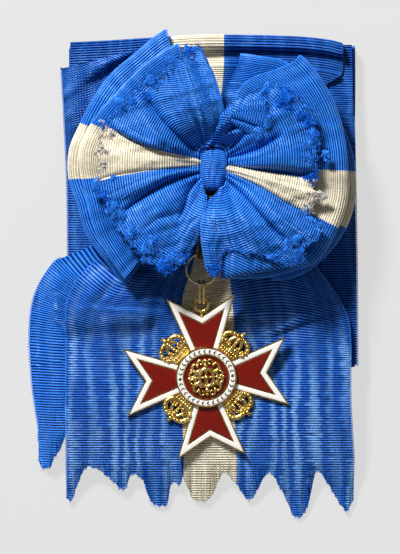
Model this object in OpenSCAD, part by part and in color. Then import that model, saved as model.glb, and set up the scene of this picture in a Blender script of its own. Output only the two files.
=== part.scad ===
// Sash insignia: a folded ribbon sash with two tails, a bow on a knot band,
// and a four-armed enamelled cross hung from the bow by a ring and a double link.
// It lies on its back. X runs across the sash, Y up its length, Z away from the surface.

/* [Ribbon] */
// Width of the sash ribbon
ribbon_w = 106; // [90:1:110]
// Thickness of a layer of ribbon
ribbon_t = 1; // [1:0.1:1.2]

/* [Folded sash] */
// Number of layers in the folded pack
pack_plies = 5; // [3:2:5]
// Distance from one layer of the pack to the next
ply_pitch = 1.3; // [1.3:0.05:1.35]
// Height of the pack's upper folded edge above the centre
pack_top = 85; // [80:1:86]
// Depth of the pack's lower folded edge below the centre
pack_bottom = 34.5; // [30:0.5:36]
// Shift of the pack to the right of the centre
pack_x = 7; // [5:0.5:8]

/* [Bow] */
// Place of the knot to the right of the centre
knot_x = 7.5; // [6:0.5:9]
// Place of the knot above the centre
knot_y = 38.7; // [36:0.1:40]
// Width of the knot band
knot_w = 9.2; // [8:0.1:11]
// Height of the ribbon where it is gathered inside the knot band
gather_h = 11; // [10:0.1:12]
// Spread between the two layers of a loop
loop_gap = 4.6; // [4:0.1:4.8]
// Depth of the pleats in the loops
loop_pleat = 0.8; // [0.2:0.1:0.9]

/* [Cross] */
// Distance from the centre of the cross to the points of an arm, along the arm
arm_tip = 30.1; // [28:0.1:32]
// Half of the distance between the two points of an arm
arm_spread = 12.7; // [11:0.1:13]
// Distance from the centre to the notch in an arm's end
arm_notch = 22.6; // [21:0.1:24]
// Half width that the arm would have at the centre
arm_root = 1.8; // [1.4:0.1:2.2]
// Width of the gold edge round an arm
edge_w = 0.35; // [0.25:0.05:0.5]
// Width of the white enamel border
white_w = 2.1; // [1.8:0.1:2.3]
// Thickness of the cross plate
plate_t = 1.5; // [1.3:0.1:1.8]
// Depth of the enamel cells
cell_d = 0.6; // [0.4:0.1:0.7]

/* [Medallion] */
// Radius of the medallion
medal_r = 11.2; // [10.8:0.1:11.4]
// Radius of the red field
field_r = 8.2; // [7.8:0.1:8.4]
// Height of the medallion above the plate
medal_h = 1.7; // [1.5:0.1:2]

/* [Rings] */
// Outer radius of the suspension ring
ring_r = 6.3; // [6.2:0.05:6.4]
// Thickness of the ring's wire
ring_wire = 1.1; // [1:0.05:1.15]
// Outer length of the double link
link_l = 9.4; // [9.3:0.05:9.5]
// Thickness of the link's wire
link_wire = 1.05; // [1:0.05:1.1]

/* [Hidden] */
$fn = 48;

blue = "#1f5fc8";
ivory = "#d9d3bd";
gold = "#c79a3a";
white = "#f4efe6";
red = "#8a1a10";

// Small clearance between pieces that rest on each other
gap = 0.3;
// Clearance of the bow's lobes beside the knot band
lobe_clear = 1.2;
// Clearance of the enamel in its cells
enamel_gap = 0.05;

// Heights of the middle of each layer, from the surface up
second_z = pack_plies * ply_pitch + ribbon_t / 2;
gathered_z = second_z + ply_pitch;
rear_tail_z = gathered_z + 0.1;
front_tail_z = rear_tail_z + 1.5;
bow_z = 11.9;
knot_pitch = 1.4;
knot_z = bow_z + 2 * knot_pitch;

// Value of column c of a table at place x, smooth between its rows, which are sorted by column 0
function span_of(table, x, i = 0) =
    i >= len(table) - 2 || x < table[i + 1][0] ? i : span_of(table, x, i + 1);
function slope_of(table, i, c) =
    let (a = table[max(i - 1, 0)], b = table[min(i + 1, len(table) - 1)])
    (b[c] - a[c]) / (b[0] - a[0]);
function smooth(table, x, c) =
    let (i = span_of(table, x), a = table[i], b = table[i + 1], h = b[0] - a[0],
        t = (x - a[0]) / h, t2 = t * t, t3 = t2 * t)
    (2 * t3 - 3 * t2 + 1) * a[c] + (t3 - 2 * t2 + t) * h * slope_of(table, i, c)
        + (3 * t2 - 2 * t3) * b[c] + (t3 - t2) * h * slope_of(table, i + 1, c);
function mix(a, b, t) = a + (b - a) * t;
function ease(t) = let (c = min(max(t, 0), 1)) c * c * (3 - 2 * c);
function unit(v) = v / norm(v);

// Left and right edges of the second ply of the sash: y, left x, right x
second_rows = [[-33.5, -46.2, 60.7], [0, -46.3, 60.5], [30, -46.6, 59.9], [60, -47.8, 59.2],
    [72, -48.5, 59], [76.4, -48.7, 58.9]];
// Slant of its upper folded edge: share of the width, y
second_top = [[0, 76.4], [0.14, 80], [0.34, 84.5], [0.6, 85.5], [1, 85.2]];

// The ply that rolls over the top and is drawn in under the bow.
// Rolled edge: share of the width, x, y
roll_rows = [[0, -38, 84.6], [0.15, -25, 86.6], [0.4, -8, 88.2], [0.58, 9.9, 88.6], [0.8, 38, 88],
    [0.93, 50, 86.8], [1, 55, 85.6]];
// Section from the tucked-in flap over the roll and down to the knot:
// distance in from the rolled edge, height above the flap, share of the way to the knot
roll_section = [[9, 0, 0], [2.5, 0, 0], [0.7, 0.3, 0], [0, 1, 0], [0.7, 1.7, 0], [2.6, 2.1, 0],
    [5.5, 2.1, 0], [9, 1.7, 0], [11, 0.8, 0.04], [9, 0, 0.22], [6, 0, 0.5], [3, 0, 0.8], [0, 0, 1]];

// Sections across the tails: row, left x, left y, right x, right y
front_tail_rows = [[0, -8, 30.5, 22, 30.5], [1, -24, 16, 35, 16], [2, -33, 7.5, 41.7, 7.5],
    [3, -39.5, 1.5, 46.4, 1.5], [4, -44, -4, 50.4, -4], [5, -46.6, -11.5, 55, -11.5],
    [6, -46.9, -21, 58, -21], [7, -46.9, -33, 58, -33], [8, -46.9, -41, 58, -41],
    [9, -46.9, -50, 58.2, -50], [10, -46.9, -60, 58.8, -60], [11, -46.9, -68, 59.4, -68]];
// Torn lower edge of the front tail: share of the width, y
front_tail_end = [[0, -83.4], [0.012, -84.5], [0.06, -72.6], [0.105, -72.2], [0.15, -76],
    [0.2, -80.1], [0.226, -74.2], [0.27, -76.8], [0.295, -84.2], [0.332, -86], [0.363, -76],
    [0.398, -78], [0.405, -75.3], [0.44, -83.4], [0.498, -83.4], [0.546, -73.8], [0.588, -77.5],
    [0.64, -83.8], [0.705, -73.8], [0.753, -80.8], [0.8, -90.5], [0.842, -86.4], [0.87, -73.4],
    [0.925, -80.1], [0.978, -88.2], [1, -84.2]];
rear_tail_rows = [[0, 0, 29, 10, 27], [1, -23, 16.5, 15.5, 14.5], [2, -38, 10.5, 23, 4.5],
    [3, -47.5, 6.6, 26, 0], [4, -51.5, 4.6, 28, -4], [5, -57, -3.2, 32, -13],
    [6, -60, -11.7, 36, -22.4], [7, -61, -22.4, 40, -31.6], [8, -60.6, -33, 43, -38],
    [9, -59.6, -44, 44.5, -46], [10, -57.6, -57, 45, -57]];
rear_tail_end = [[0, -70], [0.02, -71.6], [0.05, -70], [0.085, -69], [0.105, -66], [0.13, -65],
    [0.15, -64.5],
    [0.2, -59.5], [0.3, -64], [0.42, -60], [0.55, -66], [0.68, -61], [0.8, -66], [0.9, -60], [1, -64]];

// Lobes of the bow, from the upper selvedge to the lower one:
// share of the width, turn from the right in degrees, reach from the knot,
// sideways bulge of the middle, lift of the middle
rear_left = [[0, 109, 54.5, 0, 0], [0.12, 123.5, 51.6, 0, 1], [0.24, 138, 51.5, 0, 0],
    [0.33, 148.7, 51.3, 0, 1], [0.41, 161, 51.8, 0, 0], [0.5, 172, 53.4, 0, 1],
    [0.59, 183.5, 53.2, 0, 0], [0.68, 194, 51.5, 0, 1], [0.79, 207, 52.3, 0, 0],
    [0.9, 221, 52, 0, 1], [1, 233, 53.8, 0, 0]];
rear_right = [[0, 79, 44.5, 0, 0], [0.06, 70, 46, 0, 1], [0.13, 56, 48.5, 0, 0],
    [0.25, 34, 48, 0, 1], [0.34, 14, 50.5, 0, 0], [0.41, -1, 52, 0, 1], [0.5, -12, 53, 0, 0],
    [0.59, -23.5, 53, 0, 1], [0.7, -36, 52, 0, 0], [0.85, -50, 50, 0, 1], [1, -62, 46, 0, 0]];
front_left = [[0, 106, 47.7, -3, 0], [0.13, 121, 46, -1, 1], [0.28, 138.5, 45, 0, 0],
    [0.36, 150, 46.2, 0, 1], [0.41, 160, 47.7, 0, 0], [0.5, 172, 49.2, 0, 1], [0.59, 184, 48.3, 0, 0],
    [0.68, 195, 47.5, 0, 1], [0.8, 210, 49, 0, 0], [0.9, 222, 50, 0, 1], [1, 231, 51.5, 0, 0]];
front_right = [[0, 52.4, 52.5, 0, 0], [0.15, 34, 50.8, 0, 1], [0.3, 14, 49.3, 0, 0],
    [0.41, -1, 49, 0, 1], [0.5, -12.5, 50, 0, 0], [0.59, -25, 50.3, 0, 1], [0.7, -41.5, 50.5, 0, 0],
    [0.78, -48.5, 48.2, 0, 1], [0.88, -63, 44, 0, 0], [0.94, -73, 41.6, 0, 1], [1, -83, 40, 0, 0]];
end_left = [[0, 97, 45.5, -7.4, 0.6], [0.06, 103, 46, -4, 1], [0.13, 110, 42.5, -1, 1.4],
    [0.2, 117, 39.5, 0, 0.4], [0.27, 129, 40.9, 0, 1.6], [0.34, 145, 40.5, 0, 1.5],
    [0.39, 152, 43, 0, 1.2], [0.43, 158, 43.5, 0, 0], [0.5, 170, 43.7, 0, 1.2], [0.57, 184, 42, 0, 0.6],
    [0.6, 187.5, 43.5, 0, 0], [0.67, 199, 39.7, 0, 1.4], [0.73, 208, 41, 0, 0.1],
    [0.82, 222, 41, 0, 1.8], [0.9, 236, 41.5, 0.5, 0.8], [0.95, 244, 41.5, 1.3, 1.2],
    [0.98, 249, 36, 1.8, 0.8], [1, 253.5, 31, 2, 0.4]];
end_right = [[0, 80, 22, 0, 0.4], [0.04, 69, 27, 0, 1], [0.08, 60, 35, 0, 1.4], [0.13, 54, 38, 0, 0.8],
    [0.2, 42, 40.5, 0, 1.6], [0.27, 29, 42, 0, 0.9], [0.33, 17, 37.7, 0, 1.6], [0.38, 4, 38.7, 0, 1.1],
    [0.42, -7, 37, 0, 0], [0.5, -14.5, 38.5, 0, 1], [0.58, -22, 36, 0, 0.3], [0.62, -27.5, 41.5, 0, 0],
    [0.67, -31, 46, 0, 1.2], [0.74, -40.5, 43, 0, 1.8], [0.8, -47.5, 47.3, 0, 0.8],
    [0.86, -57, 39.5, 0, 1.6], [0.93, -75, 33, -1, 0.4], [0.97, -88.5, 38.9, -2.2, 1],
    [1, -93.5, 37.4, -2.6, 0.4]];

// Walk round one lobe of a loop, from the knot out on the lower layer and back on the upper:
// share of the way out, share of the way up to the upper layer
loop_walk = [[0, 0], [0.15, 0], [0.35, 0], [0.55, 0], [0.75, 0], [0.92, 0], [0.985, 0.16],
    [1, 0.5], [0.985, 0.84], [0.92, 1], [0.75, 1], [0.55, 1], [0.35, 1], [0.15, 1], [0, 1]];
end_walk = [0, 0.13, 0.26, 0.42, 0.58, 0.74, 0.88, 1];
bow_columns = 17;
end_columns = 25;

// Solid sheet round a grid of middle points, as triangles; a ring joins its last row to its first
function grid_normal(g, i, j, ring) =
    let (n = len(g), m = len(g[0]),
        up = ring ? g[(i + n - 1) % n][j] : g[max(i - 1, 0)][j],
        down = ring ? g[(i + 1) % n][j] : g[min(i + 1, n - 1)][j],
        left = g[i][max(j - 1, 0)], right = g[i][min(j + 1, m - 1)])
    unit(cross(right - left, down - up));
module sheet(g, t, ring = false) {
    n = len(g);
    m = len(g[0]);
    normals = [for (i = [0:n - 1]) [for (j = [0:m - 1]) grid_normal(g, i, j, ring)]];
    half = t / 2;
    points = [for (side = [half, -half]) for (i = [0:n - 1]) for (j = [0:m - 1])
        g[i][j] + side * normals[i][j]];
    last = ring ? n - 1 : n - 2;
    function at(side, i, j) = side * n * m + (i % n) * m + j;
    faces = [
        for (i = [0:last]) for (j = [0:m - 2]) for (f = [
            [at(0, i, j), at(0, i + 1, j), at(0, i, j + 1)],
            [at(0, i, j + 1), at(0, i + 1, j), at(0, i + 1, j + 1)],
            [at(1, i, j), at(1, i, j + 1), at(1, i + 1, j)],
            [at(1, i, j + 1), at(1, i + 1, j + 1), at(1, i + 1, j)]]) f,
        for (i = [0:last]) for (f = [
            [at(0, i, 0), at(1, i, 0), at(0, i + 1, 0)],
            [at(0, i + 1, 0), at(1, i, 0), at(1, i + 1, 0)],
            [at(0, i, m - 1), at(0, i + 1, m - 1), at(1, i, m - 1)],
            [at(0, i + 1, m - 1), at(1, i + 1, m - 1), at(1, i, m - 1)]]) f,
        if (!ring) for (j = [0:m - 2]) for (f = [
            [at(0, 0, j), at(0, 0, j + 1), at(1, 0, j)],
            [at(0, 0, j + 1), at(1, 0, j + 1), at(1, 0, j)],
            [at(0, n - 1, j), at(1, n - 1, j), at(0, n - 1, j + 1)],
            [at(0, n - 1, j + 1), at(1, n - 1, j), at(1, n - 1, j + 1)]]) f];
    polyhedron(points, faces, convexity = 6);
}

// Folded sash: layers laid to and fro, joined by round folds at alternate ends
module sash_pack() {
    fold_r = (ply_pitch + ribbon_t) / 2;
    inner_r = fold_r - ribbon_t;
    low = -pack_bottom + fold_r;
    high = pack_top - fold_r;
    color(blue)
    translate([pack_x + ribbon_w / 2, 0, 0])
    rotate([0, -90, 0])
    linear_extrude(ribbon_w)
    for (i = [0:pack_plies - 1]) {
        z = i * ply_pitch;
        at_top = i % 2 == 1;
        translate([z, low])
        square([ribbon_t, high - low]);
        if (i < pack_plies - 1)
            translate([z + fold_r, at_top ? high : low])
            difference() {
                circle(fold_r);
                circle(inner_r);
                translate([-fold_r - 1, at_top ? -2 * fold_r : 0])
                square([2 * fold_r + 2, 2 * fold_r]);
            }
    }
}

// Next layer of the sash, its upper edge folded on the slant
module sash_second_ply() {
    columns = 12;
    rows = [-33.5, -10, 12, 34, 52, 66, 76.4];
    g = [for (y = rows) [for (j = [0:columns])
        let (u = j / columns, top = smooth(second_top, u, 1), share = (y - rows[0]) / (76.4 - rows[0]),
            left = smooth(second_rows, y, 1), right = smooth(second_rows, y, 2))
        [mix(left, right, u), mix(rows[0], top, share), second_z]]];
    color(blue) sheet(g, ribbon_t);
}

// Layer that rolls over the top edge and is drawn in to the knot
module sash_gathered_ply() {
    columns = 14;
    knot_half = 8;
    g = [for (row = roll_section) [for (j = [0:columns])
        let (u = j / columns, x = smooth(roll_rows, u, 1), y = smooth(roll_rows, u, 2),
            knot_end = [knot_x + (u - 0.5) * 2 * knot_half, knot_y + 3],
            edge = [x, y - row[0]], flat = mix(edge, knot_end, row[2]))
        [flat.x, flat.y, gathered_z + row[1]]]];
    color(blue) sheet(g, ribbon_t);
}

// Height of a tail's middle above the surface: over the pack, then down past its edges
function tail_height(x, y, top, rest) =
    let (down = ease((-35 - y) / 27), side = ease((-50.2 - x) / 7.6))
    mix(top, rest, 1 - (1 - down) * (1 - side));

// Sheet of a tail: its sections, then its torn edge
module tail(rows, ends, top, rest, flute) {
    last = len(rows) - 1;
    function section_point(i, u) =
        [mix(rows[i][1], rows[i][3], u), mix(rows[i][2], rows[i][4], u)];
    function tail_point(i, u) =
        let (p = section_point(min(i, last), u), foot = [p.x, mix(p.y, smooth(ends, u, 1), 0.5)],
            tip = [p.x, smooth(ends, u, 1)])
        i <= last ? p : i == last + 1 ? foot : tip;
    g = [for (i = [0:last + 2]) [for (e = ends)
        let (p = tail_point(i, e[0]),
            wave = flute * (1 - cos(360 * 4 * e[0])) / 2 * ease((p.y + 70) / 30))
        [p.x, p.y, tail_height(p.x, p.y, top, rest) + wave]]];
    sheet(g, ribbon_t);
}
module rear_tail() {
    color(blue) tail(rear_tail_rows, rear_tail_end, rear_tail_z, ribbon_t / 2 + 0.1, 0);
}
module front_tail() {
    color(blue) tail(front_tail_rows, front_tail_end, front_tail_z, ribbon_t * 1.5 + 0.5, 0.4);
}

// Point of a lobe seen from the front, at share u of the width and share s of the way out
function lobe_plan(side, table, u, s) =
    let (a = [knot_x + side * (knot_w / 2 + lobe_clear), knot_y + (0.5 - u) * gather_h],
        turn = smooth(table, u, 1), reach = smooth(table, u, 2),
        b = [knot_x + reach * cos(turn), knot_y + reach * sin(turn)], d = b - a,
        bulge = smooth(table, u, 3) * pow(sin(180 * s), 2))
    a + d * s + bulge * [-d.y, d.x] / norm(d);
// Rise of the layers from the knot to half way out, and swell of the pleats along the lobe
function rise(s) = ease((s - 0.04) / 0.5);
function swell(s) = ease((s - 0.04) / 0.35) * (1 - 0.4 * ease((s - 0.6) / 0.4));

// Point of a loop: base is the layer's height at the knot, spread the extra height further out
function loop_point(side, table, u, walk, base, spread) =
    let (s = walk[0], w = walk[1], p = lobe_plan(side, table, u, s),
        low = base + spread * rise(s),
        open = knot_pitch + (loop_gap - knot_pitch) * rise(s),
        pleat = (smooth(table, u, 4) - 0.5) * 2 * loop_pleat * swell(s) * w)
    [p.x, p.y, low + open * w + pleat];
module bow(left, right, base, spread) {
    turns = len(loop_walk) - 1;
    g = [
        for (k = [0:turns]) [for (j = [0:bow_columns])
            loop_point(-1, left, j / bow_columns, loop_walk[k], base, spread)],
        for (k = [0:turns]) [for (j = [0:bow_columns])
            loop_point(1, right, j / bow_columns, loop_walk[turns - k], base, spread)]];
    color(blue) sheet(g, ribbon_t, ring = true);
}
module rear_bow() {
    bow(rear_left, rear_right, bow_z, 0);
}
module front_bow() {
    bow(front_left, front_right, bow_z + 2 * knot_pitch, 4.7);
}

// Top ribbon of the bow, its two torn ends spread over the loops
function end_point(side, table, u, s) =
    let (p = lobe_plan(side, table, u, s))
    [p.x, p.y, bow_z + 4 * knot_pitch + 9.4 * rise(s) + smooth(table, u, 4) * swell(s)];
module bow_ends() {
    last = len(end_walk) - 1;
    g = [
        for (k = [0:last]) [for (j = [0:end_columns])
            end_point(-1, end_left, j / end_columns, end_walk[last - k])],
        for (k = [0:last]) [for (j = [0:end_columns])
            end_point(1, end_right, j / end_columns, end_walk[k])]];
    color(blue) sheet(g, ribbon_t);
}

// Band round the middle of the bow: a ring with full corners, extruded across it
function full_oval(half_y, half_z, sides = 36) =
    [for (k = [0:sides - 1]) let (c = cos(360 * k / sides), s = sin(360 * k / sides))
        [half_z * sign(c) * sqrt(abs(c)), half_y * sign(s) * sqrt(abs(s))]];
knot_inner_y = gather_h / 2 + 1.4;
module knot_band() {
    inner_y = knot_inner_y;
    inner_z = 2 * knot_pitch + ribbon_t / 2 + gap + 0.8;
    color(blue)
    translate([knot_x + knot_w / 2, knot_y, knot_z])
    rotate([0, -90, 0])
    linear_extrude(knot_w)
    difference() {
        polygon(full_oval(inner_y + ribbon_t, inner_z + ribbon_t));
        polygon(full_oval(inner_y, inner_z));
    }
}

// Small flat loop behind the bow that carries the ring
loop_w = 3;
loop_hole = 0.9;
ring_x = 3.2;
ring_y = 2.1;
ring_z = 15.7;
ring_tilt = -4.5;
ring_mid_r = ring_r - ring_wire / 2;
loop_foot_y = ring_y + ring_mid_r - 2.3;
loop_head_y = knot_y - knot_inner_y - ribbon_t - gap;
module hanging_loop() {
    outer = loop_hole + ribbon_t;
    length = loop_head_y - loop_foot_y - 2 * outer;
    module stadium(r) {
        circle(r);
        translate([-r, 0]) square([2 * r, length]);
        translate([0, length]) circle(r);
    }
    color(ivory)
    translate([ring_x, loop_foot_y + outer, ring_z - 0.45])
    rotate([0, 0, -7])
    translate([loop_w / 2, 0, 0])
    rotate([0, -90, 0])
    linear_extrude(loop_w)
    difference() {
        stadium(outer);
        stadium(loop_hole);
    }
}

// Place of the cross on the tail
cross_x = 4.8;
cross_y = -37.8;
cross_z = 12.6;
cross_turn = 4;
cross_tilt = 8;
module on_tail() {
    translate([cross_x, cross_y, cross_z])
    rotate([0, 0, cross_turn])
    rotate([cross_tilt, 0, 0])
    children();
}

module suspension_ring() {
    color(gold)
    translate([ring_x, ring_y, ring_z])
    rotate([ring_tilt, 0, 0])
    rotate_extrude()
    translate([ring_mid_r, 0]) circle(ring_wire / 2);
}

// Two long loops of wire side by side, joined by a bead of solder
link_h = 4.8;
link_pitch = 1.5;
link_y = -6.5;
link_z = 16.3;
module wire_loop(length, height, wire) {
    bend_r = (height - wire) / 2;
    run = (length - height) / 2;
    for (end = [-1, 1]) {
        translate([0, end * run, 0])
        rotate([0, 90, 0])
        rotate([0, 0, end > 0 ? 0 : 180])
        rotate_extrude(angle = 180)
        translate([bend_r, 0]) circle(wire / 2);
        translate([0, run, end * bend_r])
        rotate([90, 0, 0])
        cylinder(h = 2 * run, r = wire / 2);
    }
}
module double_link() {
    color(gold)
    translate([ring_x - 0.1, link_y, link_z]) {
        for (side = [-1, 1])
            translate([side * link_pitch / 2, 0, 0])
            wire_loop(link_l, link_h, link_wire);
        translate([-link_pitch / 2, 0, -(link_h - link_wire) / 2])
        rotate([0, 90, 0])
        cylinder(h = link_pitch, r = link_wire * 0.4);
    }
}

// Outline of an arm that points along +Y, and of its red cell inside the white border
arm_flare = (arm_spread - arm_root) / arm_tip;
arm_outline = [[-arm_root, 0], [-arm_spread, arm_tip], [0, arm_notch], [arm_spread, arm_tip], [arm_root, 0]];
// Outline moved inwards by d, or outwards where d is below 0
function side_in(a, b) = let (e = unit(b - a)) [e.y, -e.x];
function inset(p, d) = let (n = len(p)) [for (i = [0:n - 1])
    let (a = side_in(p[(i + n - 1) % n], p[i]), b = side_in(p[i], p[(i + 1) % n]))
    p[i] + d * (a + b) / (1 + a * b)];
line_w = 0.25;
function white_outline() = inset(arm_outline, edge_w);
function line_outline() = inset(arm_outline, edge_w + white_w - line_w);
function red_outline() = inset(arm_outline, edge_w + white_w);
// Arm's flat shape outside the medallion's seat
seat_r = medal_r + 0.1;
module outside_seat() {
    difference() {
        children();
        circle(seat_r);
    }
}
module white_cell(clear) {
    outside_seat()
    difference() {
        polygon(inset(white_outline(), clear));
        polygon(inset(line_outline(), -clear));
    }
}
module red_cell(clear) {
    outside_seat()
    polygon(inset(red_outline(), clear));
}

// Arched crown with its foot under the medallion, pointing along +Y
crown_bar = 1;
crown_bow_r = 3.1;
module crown_plan() {
    polygon([[-3.5, 11.35], [-3.9, 13.7], [3.9, 13.7], [3.5, 11.35]]);
    translate([-crown_bar / 2, 13]) square([crown_bar, 6.6]);
    for (side = [0, 1])
        mirror([side, 0, 0])
        translate([-1.9, 16.5])
        difference() {
            circle(crown_bow_r + crown_bar / 2);
            circle(crown_bow_r - crown_bar / 2);
            rotate(60) translate([-5, -5]) square([10, 5]);
        }
}
module crown() {
    translate([0, 0, 0.05])
    linear_extrude(1)
    crown_plan();
    for (side = [-1, 1]) {
        translate([side * 4.6, 15.4, 0.85]) sphere(0.75);
        translate([side * 3.2, 13.2, 1]) sphere(0.6);
    }
    translate([0, 16.4, 1]) sphere(0.75);
    translate([0, 13.2, 1.05]) sphere(0.7);
    translate([0, 20, 0.6]) sphere(1);
    translate([0, 21.2, 0.6]) sphere(0.5);
}

// Gold cross with its cells, crowns and eye, soldered into one
eye_y = 26.9;
eye_wire = 1.25;
eye_r = 3.1;
module cross_body() {
    color(gold)
    on_tail() {
        translate([0, 0, -plate_t / 2])
        difference() {
            linear_extrude(plate_t)
            union() {
                for (turn = [0:90:270])
                    rotate(turn)
                    polygon(arm_outline);
                circle(seat_r + 0.4);
            }
            translate([0, 0, plate_t - cell_d]) {
                for (turn = [0:90:270])
                    rotate(turn) {
                        linear_extrude(plate_t) white_cell(0);
                        linear_extrude(plate_t) red_cell(0);
                    }
                cylinder(h = plate_t, r = seat_r);
            }
        }
        for (turn = [45:90:315])
            rotate(turn)
            translate([0, 0, -plate_t / 2]) crown();
        translate([0, 0, -2.2]) cylinder(h = 1.8, r = 9.5);
        translate([0, eye_y, 0])
        rotate_extrude()
        translate([eye_r - eye_wire / 2, 0]) circle(eye_wire / 2);
        translate([0, 22, -0.3])
        rotate([-90, 0, 0])
        cylinder(h = 2.4, r = 0.4);
    }
}
enamel_h = cell_d - 0.1;
module enamel(turn) {
    on_tail()
    rotate(turn)
    translate([0, 0, plate_t / 2 - cell_d + enamel_gap])
    linear_extrude(enamel_h)
    children();
}
module white_enamel(turn) {
    color(white) enamel(turn) white_cell(enamel_gap);
}
module red_enamel(turn) {
    color(red) enamel(turn) red_cell(enamel_gap);
}

// Medallion: a gold dish with two rims, enamelled ring and field, and a raised scroll ornament
seat_z = plate_t / 2 - cell_d + enamel_gap;
rim_w = 0.4;
ring_floor = 0.9;
field_floor = 0.6;
module medallion() {
    color(gold)
    on_tail()
    translate([0, 0, seat_z])
    difference() {
        cylinder(h = medal_h, r = medal_r);
        translate([0, 0, ring_floor])
        difference() {
            cylinder(h = medal_h, r = medal_r - rim_w);
            cylinder(h = medal_h, r = field_r + rim_w);
        }
        translate([0, 0, field_floor]) cylinder(h = medal_h, r = field_r);
    }
}
module medallion_ring_enamel() {
    color(white)
    on_tail()
    translate([0, 0, seat_z + ring_floor + enamel_gap])
    difference() {
        cylinder(h = medal_h - ring_floor - 0.15, r = medal_r - rim_w - enamel_gap);
        translate([0, 0, -1]) cylinder(h = medal_h + 2, r = field_r + rim_w + enamel_gap);
    }
}
field_h = 0.5;
module medallion_field_enamel() {
    color(red)
    on_tail()
    translate([0, 0, seat_z + field_floor + enamel_gap])
    cylinder(h = field_h, r = field_r - enamel_gap);
}
// Four pairs of scrolls round a ring with a cross bar, cut from a plate, and beads on them
scroll_bar = 0.9;
module scroll_plan() {
    translate([2.2, 4.6])
    difference() {
        circle(1.5 + scroll_bar / 2);
        circle(1.5 - scroll_bar / 2);
        rotate(145) polygon([[0, 0], [4, -2.8], [4, 2.8]]);
    }
}
module ornament_plan() {
    difference() {
        circle(2.9 + scroll_bar / 2);
        circle(2.9 - scroll_bar / 2);
    }
    for (turn = [0:90:270])
        rotate(turn) {
            scroll_plan();
            mirror([1, 0, 0]) scroll_plan();
            translate([-scroll_bar / 2, 0]) square([scroll_bar, 5.8]);
        }
}
module medallion_ornament() {
    color(gold)
    on_tail()
    translate([0, 0, seat_z + field_floor + field_h + 2 * enamel_gap]) {
        linear_extrude(0.9) ornament_plan();
        for (turn = [0:90:270])
            rotate(turn)
            translate([0, 5.6, 0.85]) sphere(0.8);
        translate([0, 0, 1.15]) sphere(1.1);
    }
}

sash_pack();
sash_second_ply();
sash_gathered_ply();
rear_tail();
front_tail();
rear_bow();
front_bow();
bow_ends();
knot_band();
hanging_loop();
suspension_ring();
double_link();
cross_body();
white_enamel(0);  // white_enamel_top
white_enamel(90);  // white_enamel_left
white_enamel(180);  // white_enamel_bottom
white_enamel(270);  // white_enamel_right
red_enamel(0);  // red_enamel_top
red_enamel(90);  // red_enamel_left
red_enamel(180);  // red_enamel_bottom
red_enamel(270);  // red_enamel_right
medallion();
medallion_ring_enamel();
medallion_field_enamel();
medallion_ornament();
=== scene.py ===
"""Looks of an order insignia: a folded moire sash with two torn tails, a bow whose ends are frayed,
and a gilt cross with white and red enamel that hangs from the bow by a ring and a double link.

Lengths are in millimetres up to the point where a mesh is made, and X, Y and Z are those of the frame.
"""
import math
import bpy
import numpy as np
from mathutils import Matrix


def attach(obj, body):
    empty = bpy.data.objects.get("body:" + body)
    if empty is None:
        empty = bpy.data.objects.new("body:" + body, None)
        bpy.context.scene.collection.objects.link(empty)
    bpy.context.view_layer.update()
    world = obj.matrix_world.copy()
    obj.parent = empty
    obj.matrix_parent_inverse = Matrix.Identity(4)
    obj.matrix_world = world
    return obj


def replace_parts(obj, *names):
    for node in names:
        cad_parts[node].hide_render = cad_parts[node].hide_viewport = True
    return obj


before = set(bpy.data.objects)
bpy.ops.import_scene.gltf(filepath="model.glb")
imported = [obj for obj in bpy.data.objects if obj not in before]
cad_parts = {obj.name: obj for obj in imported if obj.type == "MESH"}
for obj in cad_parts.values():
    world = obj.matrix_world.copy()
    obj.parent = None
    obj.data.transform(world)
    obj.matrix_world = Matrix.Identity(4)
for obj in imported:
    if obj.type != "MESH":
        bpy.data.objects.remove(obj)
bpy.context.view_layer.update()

MM = 0.001
TURN = 2 * math.pi

# Sizes and tables of the part
RIBBON_W = 106
RIBBON_T = 1
PACK_PLIES = 5
PLY_PITCH = 1.3
PACK_TOP = 85
PACK_BOTTOM = 34.5
PACK_X = 7
KNOT_X = 7.5
KNOT_Y = 38.7
KNOT_W = 9.2
GATHER_H = 11
LOOP_GAP = 4.6
LOOP_PLEAT = 0.8
LOBE_CLEAR = 1.2
SECOND_Z = PACK_PLIES * PLY_PITCH + RIBBON_T / 2
GATHERED_Z = SECOND_Z + PLY_PITCH
REAR_TAIL_Z = GATHERED_Z + 0.1
FRONT_TAIL_Z = REAR_TAIL_Z + 1.5
BOW_Z = 11.9
KNOT_PITCH = 1.4
KNOT_Z = BOW_Z + 2 * KNOT_PITCH

# The ivory stripe's edges, as shares of the ribbon's width
STRIPE = (0.408, 0.592)
# Pitch and height of the ribs that run across the ribbon
RIB = 0.9
RIB_H = 0.3

# y, left x, right x; and share of the width, y of the slanted fold
SECOND_ROWS = [[-33.5, -46.2, 60.7], [0, -46.3, 60.5], [30, -46.6, 59.9], [60, -47.8, 59.2],
    [72, -48.5, 59], [76.4, -48.7, 58.9]]
SECOND_TOP = [[0, 76.4], [0.14, 80], [0.34, 84.5], [0.6, 85.5], [1, 85.2]]
# Share of the width, x, y of the rolled edge
ROLL_ROWS = [[0, -45.6, 85.9], [0.15, -31, 86.6], [0.4, -9, 88], [0.58, 9.9, 88.6], [0.8, 38, 88],
    [0.93, 50, 86.8], [1, 55, 85.6]]
# Distance in from the rolled edge, height above the flap, share of the way to the knot
ROLL_SECTION = [[9, 0, 0], [2.5, 0, 0], [0.7, 0.3, 0], [0, 1, 0], [0.7, 1.7, 0], [2.6, 2.1, 0],
    [5.5, 2.1, 0], [9, 1.7, 0], [11, 0.8, 0.04], [9, 0, 0.22], [6, 0, 0.5], [3, 0, 0.8], [0, 0, 1]]
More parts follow.
